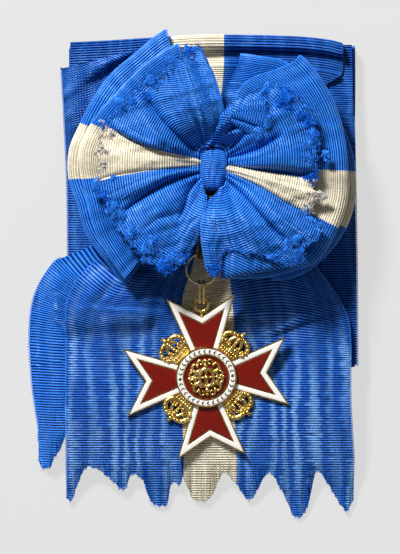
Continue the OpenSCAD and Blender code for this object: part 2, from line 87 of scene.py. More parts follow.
# Row, left x, left y, right x, right y
FRONT_TAIL_ROWS = [[0, -8, 30.5, 22, 30.5], [1, -24, 16, 38.4, 12], [2, -33, 7.5, 46.4, 1.5],
    [3, -39.5, 1.5, 50.4, -4], [4, -44, -4, 54, -9.5], [5, -46.6, -11.5, 57.2, -16.5],
    [6, -46.9, -21, 58, -24.5], [7, -46.9, -33, 58, -34], [8, -46.9, -41, 58, -41],
    [9, -46.9, -50, 58.2, -50], [10, -46.9, -60, 58.8, -60], [11, -46.9, -68, 59.4, -68]]
# How far the ribs at its head dip between the edges: share of the width, mm
FRONT_TAIL_DIP = [[0, 0], [0.05, 3.6], [0.1, 6.6], [0.16, 7.8], [0.25, 7.4], [0.4, 3.5], [0.55, 0],
    [0.75, -5], [0.86, -4], [1, 0]]
# Ridges and hollows at its head, by their ends: x, y, x, y, height, softness above and below
FRONT_TAIL_FOLDS = [[-31.7, -0.9, -39.8, -10.9, 0.9, 1.6, 1.6], [-29.6, -3, -35.8, -10.9, -0.9, 1, 1],
    [-28.5, -3.8, -33.5, -11, 0.9, 1.1, 1.1], [-40.5, -12.4, -12, -14, 0.9, 1.2, 2.6],
    [-18, -9.6, -9, -9.2, 0.9, 1, 1.2], [29, -21.5, 47, -12.8, 0.9, 0.9, 1.4],
    [33, -21.6, 49, -15.5, -0.9, 1, 2], [18, -14.8, 40, -14.4, 0.8, 1.6, 1.4],
    [-30, -14.4, -14, -15, 1.2, 2, 6.5],
    [40, 4, 52.5, -12, 0.7, 2.4, 2.4]]
# Places where it lies higher, over the layers that are drawn in: x, y, x, y of the line where it is
# all the way up, height, how far below that line it begins to rise, and where along x it starts and
# ends
FRONT_TAIL_STEPS = [[-47, -15.2, -5, -14.6, 4.0, 9.2, -58, -12], [12, -13, 60, -16, 1.2, 9, 17, 53]]
# Share of the width, y of the torn edge
FRONT_TAIL_END = [[0, -83.4], [0.012, -84.5], [0.06, -72.6], [0.105, -72.2], [0.15, -76],
    [0.2, -80.1], [0.226, -74.2], [0.268, -77.2], [0.284, -82.5], [0.303, -85.6], [0.33, -86.2],
    [0.35, -85.4], [0.363, -78],
    [0.398, -78], [0.405, -75.3], [0.44, -83.4], [0.498, -83.4], [0.546, -73.8], [0.588, -77.5],
    [0.64, -83.8], [0.705, -73.8], [0.753, -80.8], [0.8, -90.5], [0.842, -86.4], [0.87, -73.4],
    [0.925, -80.1], [0.978, -88.2], [1, -84.2]]
REAR_TAIL_ROWS = [[0, 0, 29, 10, 27], [1, -23, 16.5, 15.5, 14.5], [2, -38, 10.5, 23, 4.5],
    [3, -47.5, 6.6, 26, 0], [4, -51.5, 4.6, 28, -4], [5, -57, -3.2, 32, -13],
    [6, -60, -11.7, 36, -22.4], [7, -61, -22.4, 40, -31.6], [8, -60.6, -33, 43, -38],
    [9, -59.6, -44, 44.5, -46], [10, -57.6, -57, 45, -57]]
REAR_TAIL_DIP = [[0, 0], [0.06, 5], [0.13, 10], [0.2, 12], [0.35, 11], [0.6, 6], [1, 0]]
REAR_TAIL_FOLDS = [[-50, 0.9, -44.1, -6.1, -1.0, 1.5, 1.5], [-52.3, -5, -45.6, -8.7, 0.7, 1, 1],
    [-49.3, -18.7, -46, -22.5, -0.9, 1.6, 1.6], [-60, -2, -52, -4, 0.6, 1.6, 1.6]]
REAR_TAIL_STEPS = [[-62, -9.3, -45, -10, 1.3, 4, -70, -36], [-60, -34, -46, -31.4, 0.4, 0.8, -70, -40]]
REAR_TAIL_END = [[0, -69], [0.015, -71.8], [0.045, -71.2], [0.06, -67.5], [0.078, -65.2], [0.088, -62.3],
    [0.106, -58.6], [0.14, -57.5], [0.2, -59.5], [0.3, -64], [0.42, -60], [0.55, -66], [0.68, -61],
    [0.8, -66], [0.9, -60], [1, -64]]
# Lobes of the bow: share of the width, turn from the right in degrees, reach from the knot,
# sideways bulge of the middle, lift of the middle
REAR_LEFT = [[0, 109, 54.5, 0, 0], [0.12, 123.5, 51.6, 0, 1], [0.24, 138, 51.5, 0, 0],
    [0.33, 148.7, 51.3, 0, 1], [0.41, 161, 51.8, 0, 0], [0.5, 172, 53.4, 0, 1],
    [0.59, 183.5, 53.2, 0, 0], [0.68, 194, 51.5, 0, 1], [0.79, 207, 52.3, 0, 0],
    [0.9, 221, 52, 0, 1], [1, 233, 53.8, 0, 0]]
REAR_RIGHT = [[0, 77, 43.6, 4.5, 0], [0.06, 67, 45, 3.2, 1], [0.13, 56, 47.6, 1.6, 0],
    [0.25, 34, 48, 0, 1], [0.34, 14, 50.5, 0, 0], [0.41, -1, 52, 0, 1], [0.5, -12, 53, 0, 0],
    [0.59, -23.5, 53, 0, 1], [0.7, -36, 52, 0, 0], [0.85, -50, 50, 0, 1], [1, -62, 46, 0, 0]]
FRONT_LEFT = [[0, 106, 47.7, -3, 0], [0.13, 121, 46, -1, 1], [0.28, 138.5, 45, 0, 0],
    [0.36, 150, 46.2, 0, 1], [0.41, 160, 47.7, 0, 0], [0.5, 172, 49.2, 0, 1], [0.59, 184, 48.3, 0, 0],
    [0.68, 195, 47.5, 0, 1], [0.8, 210, 49, 0, 0], [0.9, 222, 50, 0, 1], [1, 231, 51.5, 0, 0]]
FRONT_RIGHT = [[0, 52.4, 52.5, 10.5, 0], [0.15, 34, 50.8, 6, 1], [0.3, 14, 49.3, 2, 0],
    [0.41, -1, 49, 0, 1], [0.5, -12.5, 50, 0, 0], [0.59, -25, 50.3, 0, 1], [0.7, -41.5, 50.5, 0, 0],
    [0.78, -48.5, 48.2, 0, 1], [0.88, -63, 44, 0, 0], [0.94, -73, 41.6, 0, 1], [1, -83, 40, 0, 0]]
# Torn ends: share of the width, turn from the right in degrees, reach from the knot, lift of the
# middle
END_LEFT = [[0, 95.5, 43.4, 0.6], [0.022, 97.6, 45.8, 0.8], [0.05, 101.5, 41.2, 1],
    [0.075, 104.5, 44, 1], [0.13, 110, 42.5, 1.2],
    [0.2, 118, 39.5, 0.6], [0.27, 131, 40.5, 0.8], [0.34, 147, 40.5, 1.5],
    [0.39, 155.5, 42.4, 1.2], [0.43, 161, 43, 0.2], [0.5, 172, 43.4, 0.9], [0.57, 184, 42, 0.6],
    [0.6, 187.5, 43.5, 0.3], [0.67, 199, 40, 1.4], [0.73, 208.5, 41, 0.1],
    [0.82, 222, 41, 1.8], [0.9, 238, 41.5, 0.8], [0.95, 246, 41.5, 1.2],
    [0.98, 251, 36, 0.8], [1, 254, 31.5, 0.4]]
END_RIGHT = [[0, 80, 22, 0.4], [0.04, 70, 27, 1], [0.08, 61, 34, 1.4], [0.13, 54, 37.5, 0.8],
    [0.2, 42, 40.5, 1.6], [0.27, 29, 41.5, 0.9], [0.33, 17, 37.7, 1.6], [0.38, 2, 38, 1.1],
    [0.42, -8.5, 36.6, 0.1], [0.5, -15.5, 38, 0.9], [0.58, -23.5, 37, 0.4], [0.62, -28, 41.5, 0.2],
    [0.67, -32, 46, 1.2], [0.74, -40.5, 44, 1.8], [0.8, -47.5, 47, 0.8],
    [0.84, -54, 43, 1.3], [0.87, -60.5, 36.6, 1.6], [0.93, -76, 31, 0.6],
    [0.955, -83, 30.4, 0.6], [0.975, -88.5, 37.8, 1], [1, -93.6, 37.2, 0.4]]

# Width of a pixel of the photo in mm, and the pixel, across and down, where the frame's origin is
PIXEL = 0.37
ORIGIN_PIXEL = (193.25, 274.5)
# Lines of the torn ends, read in the photo from the knot outwards: share of the width, then
# pixels across and down
LEFT_LINES = [
    [0.41, (202.5, 161), (185, 157.5), (168, 154), (156.7, 152), (146.7, 149), (135, 143.5), (125, 139),
        (116.7, 135.8), (110, 129)],
    [0.59, (202.5, 166.5), (185, 168), (168, 170.8), (151.7, 173.3), (135, 176.7), (118, 180), (110, 182.5)],
    [0.72, (202.5, 173), (185, 175.8), (173, 181), (160, 188), (146.7, 196.7), (136.7, 205), (128, 213),
        (119, 221)],
    [0.88, (202.5, 180), (198, 188), (193, 197), (187, 207), (178, 222), (166, 240), (156, 256)],
    [1, (202, 184), (203.5, 190), (206, 198), (206.3, 203), (204.5, 210), (202, 217), (200.5, 226),
        (197.5, 240), (190, 252)]]
RIGHT_LINES = [
    [0.13, (225.5, 154), (232, 147), (240, 137), (250, 124), (262, 105), (268, 93)],
    [0.3, (225, 159), (236, 158), (246.7, 155.5), (260, 151), (270, 146.5), (285, 139.5), (300, 132.5),
        (311, 128)],
    [0.41, (224, 165.3), (238, 169), (255, 172.5), (271.7, 175.8), (285, 178), (298, 180), (306, 181)],
    [0.59, (224, 171.5), (238, 176.7), (255, 185), (271.7, 195), (288, 205), (301.7, 211.5), (307.5, 214)],
    [0.77, (224.5, 179), (232, 184.5), (239, 190), (246, 199), (253, 208), (264, 220), (280, 236),
        (299, 254)],
    [0.88, (223.5, 184.5), (227, 192), (231, 201), (236, 212), (243, 228), (252, 245), (260, 260)],
    [1, (221, 188), (214, 196.5), (207.5, 204), (204, 212), (201.8, 222), (201.3, 236), (203.5, 253.5),
        (207, 270)]]
# Near the top corner: share and, on the knot, pixels across and down, read in the photo on the left
# and set on the right; then share and the parts of one, two and three half waves, set from values
# that were first fitted to such lines
LEFT_TOP = ([[0, 203.5, 151.5], [0.27, 202.5, 154]],
    [[0, -7.3, -1.5, -0.6], [0.1, -2.2, -0.6, -0.2], [0.27, 2.6, -0.3, 0]])
RIGHT_TOP = ([[0, 213.8, 148.5], [0.05, 222.4, 149.6]], [[0, 0.9, 0.3, 0.2], [0.05, 1.0, 0, 0]])

# Tufts of ravelled silk on the torn ends, read in the photo: pixels across and down, radius
# in pixels, and 1 where the silk is the deeper one
LEFT_TUFTS = [(155, 86, 9, 0), (146, 98, 7, 1), (125, 108, 10, 0), (135, 104, 6, 1), (104, 126, 4.5, 0),
    (112, 135, 4, 0), (105, 153, 5.5, 0), (104, 166, 6, 0), (114, 180, 4, 0), (98, 187, 7, 0),
    (105, 197, 5, 1), (114, 210, 9.5, 0), (122, 219, 7, 0), (134, 232, 8, 0), (150, 246, 9, 0),
    (146, 257, 6, 0), (160, 252, 6, 0), (166, 267, 8, 1), (176, 258, 8.5, 0), (185, 257, 5, 1),
    (190, 53, 6, 1), (172, 66, 7, 0)]
RIGHT_TUFTS = [(264, 94, 9, 0), (283, 105, 11, 1), (285, 95, 7, 1), (266, 123, 6.5, 0), (300, 118, 8.5, 1),
    (308, 125, 6, 1), (312, 141, 9, 0), (304, 147, 6, 0), (306, 160, 6, 0), (324, 157, 5, 0),
    (309, 180, 7.5, 1), (317, 197, 7, 0), (308, 207, 5, 0), (304, 212, 6, 0), (312, 224, 7, 0),
    (290, 243, 9, 0), (282, 240, 6, 0), (297, 254, 6.5, 0), (271, 257, 4, 0), (214, 268, 7.5, 1),
    (257, 136, 4.5, 0)]
# Added to the ribbon's across where the ravelled silk is the deeper one, past the ribbon's own width
DEEPER = 150



# Middle points, across and along of each cloth, by its name
CLOTH_ENDS = {}


# Small helpers
def mix(a, b, t):
    return a + (b - a) * t


def ease(t):
    t = np.clip(t, 0, 1)
    return t * t * (3 - 2 * t)


def smooth(table, x, column):
    """Value of a table's column at x, smooth between its rows, as the part's source works it out."""
    rows = np.array(table, float)
    at = rows[:, 0]
    values = rows[:, column]
    last = len(rows) - 1
    low = np.maximum(np.arange(last + 1) - 1, 0)
    high = np.minimum(np.arange(last + 1) + 1, last)
    slope = (values[high] - values[low]) / (at[high] - at[low])
    x = np.asarray(x, float)
    i = np.clip(np.searchsorted(at, x, "right") - 1, 0, last - 1)
    h = at[i + 1] - at[i]
    t = (x - at[i]) / h
    t2 = t * t
    t3 = t2 * t
    return ((2 * t3 - 3 * t2 + 1) * values[i] + (t3 - 2 * t2 + t) * h * slope[i]
        + (3 * t2 - 2 * t3) * values[i + 1] + (t3 - t2) * h * slope[i + 1])


def waver(x, length, seed):
    """Smooth uneven wave from about -1 to 1, with swings of about this length in mm."""
    chance = np.random.default_rng(seed)
    total = np.zeros_like(np.asarray(x, float))
    for k in range(1, 5):
        total = total + np.sin(TURN * (x / length * (0.55 + 0.5 * k) + chance.random())) / k
    return total / 1.8


def wander(x, y, length, seed):
    """Smooth uneven waves over two lengths."""
    return 0.5 * waver(x + 0.35 * y, length, seed) + 0.5 * waver(y - 0.3 * x, length, seed + 1)


def from_photo(column, row):
    """Place in mm, to a tenth, of a pixel that was read in the photo."""
    return round((column - ORIGIN_PIXEL[0]) * PIXEL, 1), round((ORIGIN_PIXEL[1] - row) * PIXEL, 1)


def run_lengths(line):
    """How far along a line of points each of them is."""
    return np.concatenate([[0], np.cumsum(np.linalg.norm(np.diff(line, axis=0), axis=1))])


def unit(v):
    return v / np.maximum(np.linalg.norm(v, axis=-1, keepdims=True), 1e-9)


def steps(*spans):
    """Places along a length: each span is (start, end, spacing), one after the other."""
    parts = []
    for start, end, gap in spans:
        count = max(int(round(abs(end - start) / gap)), 1)
        parts.append(np.linspace(start, end, count, endpoint=False))
    return np.concatenate(parts + [[spans[-1][1]]])


def piece_from(name, points, polygons, material, flat_uv=None, sharp=40):
    """Mesh piece from points in mm and arrays of polygons, each array with polygons of one size."""
    mesh = bpy.data.meshes.new(name)
    sizes = np.concatenate([np.full(len(p), p.shape[1]) for p in polygons])
    corners = np.concatenate([p.ravel() for p in polygons]).astype(np.int32)
    mesh.vertices.add(len(points))
    mesh.vertices.foreach_set("co", (np.asarray(points) * MM).astype(np.float32).ravel())
    mesh.loops.add(len(corners))
    mesh.loops.foreach_set("vertex_index", corners)
    mesh.polygons.add(len(sizes))
    mesh.polygons.foreach_set("loop_start", np.concatenate([[0], np.cumsum(sizes)[:-1]]).astype(np.int32))
    mesh.update(calc_edges=True)
    if flat_uv is not None:
        layer = mesh.uv_layers.new(name="ribbon")
        layer.data.foreach_set("uv", np.asarray(flat_uv, np.float32)[corners].ravel())
    mesh.polygons.foreach_set("use_smooth", np.ones(len(sizes), bool))
    mesh.set_sharp_from_angle(angle=math.radians(sharp))
    mesh.materials.append(material)
    piece = bpy.data.objects.new(name, mesh)
    bpy.context.scene.collection.objects.link(piece)
    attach(piece, "root")
    return piece


def grid_faces(first, second):
    """Quads between two rows of point numbers."""
    return np.stack([first[:-1], first[1:], second[1:], second[:-1]], axis=1)


def surface_of(grid, up):
    """Unit normals of a grid of points, turned so that the rows in up face away from the table."""
    normal = unit(np.cross(np.gradient(grid, axis=1), np.gradient(grid, axis=0)))
    side = 1 if normal[up][..., 2].mean() > 0 else -1
    return normal * side, side


def joined(first, second):
    """Polygons between two rows of point numbers, one of which may have several times the points."""
    many = (len(second) - 1) // (len(first) - 1) if len(second) > len(first) else 1
    few = (len(first) - 1) // (len(second) - 1) if len(first) > len(second) else 1
    cells = (len(first) - 1) // few
    parts = [first[np.arange(cells) * few + k] for k in range(few + 1)]
    parts += [second[np.arange(cells) * many + k] for k in range(many, -1, -1)]
    return np.stack(parts, axis=1)


def cloth(name, grid, across, along, material, slot="ribbon", up=slice(None), ribs=1.0,
        above=0.45, below=0.25, back_step=4, fine_rows=None, fewer=1):
    """Closed sheet of ribbon round a grid of middle points.

    Rows run along the ribbon and columns across it. The front has its ribs as real ridges, and the
    back, which is hardly seen, has one row for every few of the front. Only the last fine_rows rows
    keep all the columns; the others have one for every few. The grid is kept in CLOTH_ENDS.
    """
    CLOTH_ENDS[name] = (grid, across, along)
    spare = (len(grid) - 1) % back_step
    if spare:
        keep = np.unique(np.round(np.linspace(0, len(grid) - 1, len(grid) - spare)).astype(int))
        grid, across, along = grid[keep], across[keep], along[keep]
        ribs = ribs[keep] if isinstance(ribs, np.ndarray) else ribs
    rows, columns = grid.shape[:2]
    normal, side = surface_of(grid, up)
    ridge = RIB_H * ribs * (0.5 + 0.5 * np.cos(TURN * along / RIB)) - 0.6 * RIB_H * ribs
    front = grid + normal * (above + ridge)[..., None]
    pick = np.arange(0, rows, back_step)
    back = (grid - normal * below)[pick]
    points = np.concatenate([front.reshape(-1, 3), back.reshape(-1, 3)])
    flat_uv = np.stack([across, along], axis=-1)
    flat_uv = np.concatenate([flat_uv.reshape(-1, 2), flat_uv[pick].reshape(-1, 2)])
    f = np.arange(rows * columns).reshape(rows, columns)
    b = rows * columns + np.arange(len(pick) * columns).reshape(len(pick), columns)
    fine_from = rows - (fine_rows or rows)
    f_rows = [f[i] if i >= fine_from else f[i, ::fewer] for i in range(rows)]
    b_rows = [b[i] if pick[i] >= fine_from else b[i, ::fewer] for i in range(len(pick))]
    strips = [joined(f_rows[i + 1], f_rows[i]) for i in range(rows - 1)]
    strips += [joined(b_rows[i], b_rows[i + 1]) for i in range(len(pick) - 1)]
    strips += [joined(f_rows[0], b_rows[0]), joined(b_rows[-1], f_rows[-1])]
    quads = [strip for strip in strips if strip.shape[1] == 4]
    wide = [strip for strip in strips if strip.shape[1] > 4]
    sides = []
    for k in range(len(pick) - 1):
        run = np.arange(pick[k], pick[k + 1] + 1)
        sides.append(np.concatenate([f[run, 0], [b[k + 1, 0], b[k, 0]]])[::-1])
        sides.append(np.concatenate([f[run, -1], [b[k + 1, -1], b[k, -1]]]))
    polygons = [np.concatenate(quads), np.array(sides)] + ([np.concatenate(wide)] if wide else [])
    if side > 0:
        polygons = [p[:, ::-1] for p in polygons]
    used = np.zeros(len(points), bool)
    for p in polygons:
        used[p] = True
    number = np.cumsum(used) - 1
    return piece_from(name, points[used], [number[p] for p in polygons], material, flat_uv[used],
        sharp=55)


# Materials
def linear(hex_colour):
    """Linear colour of an sRGB hex value."""
    parts = [int(hex_colour[i:i + 2], 16) / 255 for i in (1, 3, 5)]
    return [c / 12.92 if c <= 0.04045 else ((c + 0.055) / 1.055) ** 2.4 for c in parts] + [1.0]


def add(tree, kind, inputs=None, **settings):
    """Adds a node with its settings; an input is a value or another node's output."""
    node = tree.nodes.new("ShaderNode" + kind)
    for key, value in settings.items():
        setattr(node, key, value)
    for key, value in (inputs or {}).items():
        if isinstance(value, bpy.types.NodeSocket):
            tree.links.new(value, node.inputs[key])
        else:
            node.inputs[key].default_value = value
    return node


def new_material(name):
    material = bpy.data.materials.new(name)
    material.use_nodes = True
    material.node_tree.nodes.clear()
    return material, material.node_tree


def ivory_share(tree, across, left, right, soft):
    """1 on the ivory stripe between left and right, in mm, and 0 on the blue, soft at its edges."""
    rising = add(tree, "MapRange", {"Value": across, "From Min": left - soft, "From Max": left + soft})
    falling = add(tree, "MapRange", {"Value": across, "From Min": right + soft, "From Max": right - soft})
    both = {0: rising.outputs[0], 1: falling.outputs[0]}
    return add(tree, "Math", both, operation="MULTIPLY").outputs[0]


def ribbon_material(name, blues, ivories, figure_share, rough, shaded_head=0.0):
    """Ribbed silk with a watered figure: ribs of weft 0.9 mm apart, pressed flat along wavering lines,
    so that light runs along the pressed parts and the rest stays deep. The ribs are painted lighter on
    the crest and darker in the groove, and the figure is painted lighter: painted highlight, shade and
    sheen. Within shaded_head mm of the ribbon's head, where the bow's shadow falls, the figure fades
    out: painted shade."""
    material, tree = new_material(name)
    place = add(tree, "UVMap", uv_map="ribbon").outputs["UV"]
    parts = add(tree, "SeparateXYZ", {0: place})
    across, along = parts.outputs["X"], parts.outputs["Y"]
    # Ivory stripe, its edge a thread wide
    stripe = ivory_share(tree, across, STRIPE[0] * RIBBON_W, STRIPE[1] * RIBBON_W, 0.12)
    # Ribs: a wave along the ribbon, 1 on the crest; it paints the crest lighter and the groove darker,
    # painted highlight and painted shade over the real ridges
    turned = add(tree, "Math", {0: along, 1: TURN / RIB}, operation="MULTIPLY")
    wave = add(tree, "Math", {0: turned.outputs[0]}, operation="COSINE")
    rib = add(tree, "MapRange", {"Value": wave.outputs[0], "From Min": -0.9, "From Max": 0.9}).outputs[0]
    # Watered figure: narrow light streaks about 6 mm apart that waver along the ribbon, ragged
    # from rib to rib
    stretched = add(tree, "Mapping", {"Vector": place, "Scale": (1 / 16, 1 / 60, 1)})
    cloud = add(tree, "TexNoise", {"Vector": stretched.outputs[0], "Scale": 1.0, "Detail": 2.0,
        "Roughness": 0.5, "Distortion": 0.2})
    row = add(tree, "Math", {0: along, 1: RIB}, operation="SNAP").outputs[0]
    slow = add(tree, "Math", {0: across, 1: 0.035}, operation="MULTIPLY").outputs[0]
    strip = add(tree, "CombineXYZ", {0: slow, 1: row}).outputs[0]
    grain = add(tree, "TexNoise", {"Vector": strip, "Scale": 3.7, "Detail": 1.0}).outputs[0]
    ragged = add(tree, "Math", {0: grain, 1: 4.2}, operation="MULTIPLY").outputs[0]
    contour = add(tree, "Math", {0: cloud.outputs[0], 1: 18.0}, operation="MULTIPLY").outputs[0]
    contour = add(tree, "Math", {0: contour, 1: ragged}, operation="ADD").outputs[0]
    upright = add(tree, "Math", {0: across, 1: TURN / 6.0}, operation="MULTIPLY").outputs[0]
    contour = add(tree, "Math", {0: contour, 1: upright}, operation="ADD")
    lines = add(tree, "Math", {0: contour.outputs[0]}, operation="SINE")
    figure = add(tree, "MapRange", {"Value": lines.outputs[0], "From Min": -0.4, "From Max": 1.0}).outputs[0]
    # Threads of the warp, 0.25 mm apart, each a little lighter or darker than the next
    fine = add(tree, "Mapping", {"Vector": place, "Scale": (4.0, 0.35, 1)})
    thread = add(tree, "TexNoise", {"Vector": fine.outputs[0], "Scale": 1.0, "Detail": 2.0}).outputs[0]
    # Broad soft changes where hands have pressed and light has bleached the silk
    broad = add(tree, "TexNoise", {"Vector": place, "Scale": 0.045, "Detail": 2.0}).outputs[0]
    # The figure is strong in some places and nearly lost in others
    patches = add(tree, "Mapping", {"Vector": place, "Scale": (1 / 13, 1 / 34, 1)})
    patch = add(tree, "TexNoise", {"Vector": patches.outputs[0], "Scale": 1.0, "Detail": 1.0}).outputs[0]
    shown = add(tree, "MapRange", {"Value": patch, "From Min": 0.36, "From Max": 0.62,
        "To Min": 0.35 * figure_share, "To Max": 1.2 * figure_share}).outputs[0]
    # Near the ribbon's head, where the bow's shadow falls, the lighter figure fades out: painted shade
    if shaded_head:
        head_shade = add(tree, "MapRange", {"Value": along, "From Min": shaded_head - 18, "From Max": shaded_head,
            "To Min": 0.22}).outputs[0]
        shown = add(tree, "Math", {0: shown, 1: head_shade}, operation="MULTIPLY").outputs[0]
    figured = add(tree, "Math", {0: figure, 1: shown}, operation="MULTIPLY").outputs[0]
    # The figure shows most on the rib crests, a painted sheen
    crest = add(tree, "MapRange", {"Value": rib, "To Min": 0.3, "To Max": 1.3}).outputs[0]
    figured = add(tree, "Math", {0: figured, 1: crest}, operation="MULTIPLY").outputs[0]
    # Along each rib the colour goes from the groove's to the crest's, painted shade and painted highlight,
    # then to the figure's lighter colour, a painted sheen
    blue = add(tree, "Mix", {0: rib, 6: linear(blues[0]), 7: linear(blues[1])}, data_type="RGBA").outputs[2]
    blue = add(tree, "Mix", {0: figured, 6: blue, 7: linear(blues[2])}, data_type="RGBA").outputs[2]
    ivory = add(tree, "Mix", {0: rib, 6: linear(ivories[0]), 7: linear(ivories[1])},
        data_type="RGBA").outputs[2]
    ivory = add(tree, "Mix", {0: figured, 6: ivory, 7: linear(ivories[2])}, data_type="RGBA").outputs[2]
    colour = add(tree, "Mix", {0: stripe, 6: blue, 7: ivory}, data_type="RGBA").outputs[2]
    uneven = add(tree, "MapRange", {"Value": thread, "From Min": 0.25, "From Max": 0.75,
        "To Min": 0.8, "To Max": 1.2}).outputs[0]
    faded = add(tree, "MapRange", {"Value": broad, "From Min": 0.3, "From Max": 0.7,
        "To Min": 0.9, "To Max": 1.08}).outputs[0]
    by_rib = add(tree, "MapRange", {"Value": grain, "From Min": 0.3, "From Max": 0.7,
        "To Min": 0.84, "To Max": 1.14}).outputs[0]
    strength = add(tree, "Math", {0: uneven, 1: faded}, operation="MULTIPLY").outputs[0]
    strength = add(tree, "Math", {0: strength, 1: by_rib}, operation="MULTIPLY").outputs[0]
    shade = add(tree, "CombineXYZ", {0: strength, 1: strength, 2: strength}).outputs[0]
    colour = add(tree, "Mix", {0: 1.0, 6: colour, 7: shade}, data_type="RGBA",
        blend_type="MULTIPLY").outputs[2]
    gloss = add(tree, "MapRange", {"Value": figure, "To Min": rough + 0.08, "To Max": rough - 0.1})
    # Reflection tinted deep blue in the grooves and pale on the crests: painted shade of the reflection in
    # the grooves
    glint = add(tree, "Mix", {0: rib, 6: linear("#1a4ca8"), 7: linear("#c4dcff")},
        data_type="RGBA").outputs[2]
    glint = add(tree, "Mix", {0: stripe, 6: glint, 7: linear("#fff4dc")}, data_type="RGBA").outputs[2]
    high = add(tree, "MapRange", {"Value": rib, "To Max": 0.7}).outputs[0]
    height = add(tree, "Math", {0: thread, 1: high}, operation="ADD").outputs[0]
    bump = add(tree, "Bump", {"Height": height, "Strength": 0.55, "Distance": 0.00012})
    shader = add(tree, "BsdfPrincipled", {"Base Color": colour, "Roughness": gloss.outputs[0],
        "Specular Tint": glint, "Specular IOR Level": 0.5, "Normal": bump.outputs[0]})
    add(tree, "OutputMaterial", {"Surface": shader.outputs[0]})
    return material


def ravelled_material():
    """Loose silk threads: the same dye as the ribbon, deeper because light is lost between them."""
    material, tree = new_material("ravelled_silk")
    place = add(tree, "UVMap", uv_map="ribbon").outputs["UV"]
    parts = add(tree, "SeparateXYZ", {0: place})
    stripe = ivory_share(tree, parts.outputs["X"], 43.3, 62.7, 0.3)
    chance = add(tree, "TexNoise", {"Vector": place, "Scale": 2.3, "Detail": 1.0}).outputs[0]
    share = add(tree, "MapRange", {"Value": chance, "From Min": 0.35, "From Max": 0.65}).outputs[0]
    blue = add(tree, "Mix", {0: share, 6: linear("#0244b4"), 7: linear("#3a92f6")},
        data_type="RGBA").outputs[2]
    deeper = add(tree, "MapRange", {"Value": parts.outputs["X"], "From Min": DEEPER - 10.0,
        "From Max": DEEPER - 9.0}).outputs[0]
    deep_blue = add(tree, "Mix", {0: share, 6: linear("#0238a8"), 7: linear("#1a74e6")},
        data_type="RGBA").outputs[2]
    blue = add(tree, "Mix", {0: deeper, 6: blue, 7: deep_blue}, data_type="RGBA").outputs[2]
    dun = add(tree, "Mix", {0: share, 6: linear("#8d8488"), 7: linear("#f0e9d6")},
        data_type="RGBA").outputs[2]
    rough = add(tree, "MapRange", {"Value": chance, "To Min": 0.4, "To Max": 0.65})
    fuzz = add(tree, "TexCoord").outputs["Object"]
    fuzz = add(tree, "TexNoise", {"Vector": fuzz, "Scale": 3200.0, "Detail": 3.0}).outputs[0]
    bump = add(tree, "Bump", {"Height": fuzz, "Strength": 1.0, "Distance": 0.0004})
    shader = add(tree, "BsdfPrincipled", {
        "Base Color": add(tree, "Mix", {0: stripe, 6: blue, 7: dun}, data_type="RGBA").outputs[2],
        "Roughness": rough.outputs[0], "Specular Tint": linear("#8fb8ff"), "Specular IOR Level": 0.25,
        "Normal": bump.outputs[0]})
    add(tree, "OutputMaterial", {"Surface": shader.outputs[0]})
    return material


def gilt_material(name, deep, bright, rough):
    """Gilt metal, cast or stamped and polished: soft hammer and casting marks, thin gilding worn
    browner in patches."""
    material, tree = new_material(name)
    place = add(tree, "TexCoord").outputs["Object"]
    cloud = add(tree, "TexNoise", {"Vector": place, "Scale": 420.0, "Detail": 4.0}).outputs[0]
    grain = add(tree, "TexNoise", {"Vector": place, "Scale": 2600.0, "Detail": 2.0}).outputs[0]
    share = add(tree, "MapRange", {"Value": cloud, "From Min": 0.35, "From Max": 0.62}).outputs[0]
    colour = add(tree, "Mix", {0: share, 6: linear(deep), 7: linear(bright)}, data_type="RGBA").outputs[2]
    spread = add(tree, "MapRange", {"Value": grain, "To Min": rough - 0.07, "To Max": rough + 0.1})
    bump = add(tree, "Bump", {"Height": cloud, "Strength": 0.25, "Distance": 0.00008})
    shader = add(tree, "BsdfPrincipled", {
        "Base Color": colour,
        "Roughness": spread.outputs[0], "Metallic": 1.0, "Normal": bump.outputs[0]})
    add(tree, "OutputMaterial", {"Surface": shader.outputs[0]})
    return material


def white_enamel_material():
    """Opaque white enamel, fired and stoned flat: glassy, a little cream, faint clouding and pits."""
    material, tree = new_material("white_enamel")
    place = add(tree, "TexCoord").outputs["Object"]
    cloud = add(tree, "TexNoise", {"Vector": place, "Scale": 260.0, "Detail": 3.0}).outputs[0]
    colour = add(tree, "Mix", {0: cloud, 6: linear("#f6efe4"), 7: linear("#fffdf6")},
        data_type="RGBA").outputs[2]
    rough = add(tree, "MapRange", {"Value": cloud, "To Min": 0.16, "To Max": 0.3})
    bump = add(tree, "Bump", {"Height": cloud, "Strength": 0.12, "Distance": 0.0001})
    shader = add(tree, "BsdfPrincipled", {"Base Color": colour, "Roughness": rough.outputs[0],
        "Coat Weight": 0.5, "Coat Roughness": 0.06, "Normal": bump.outputs[0]})
    add(tree, "OutputMaterial", {"Surface": shader.outputs[0]})
    return material


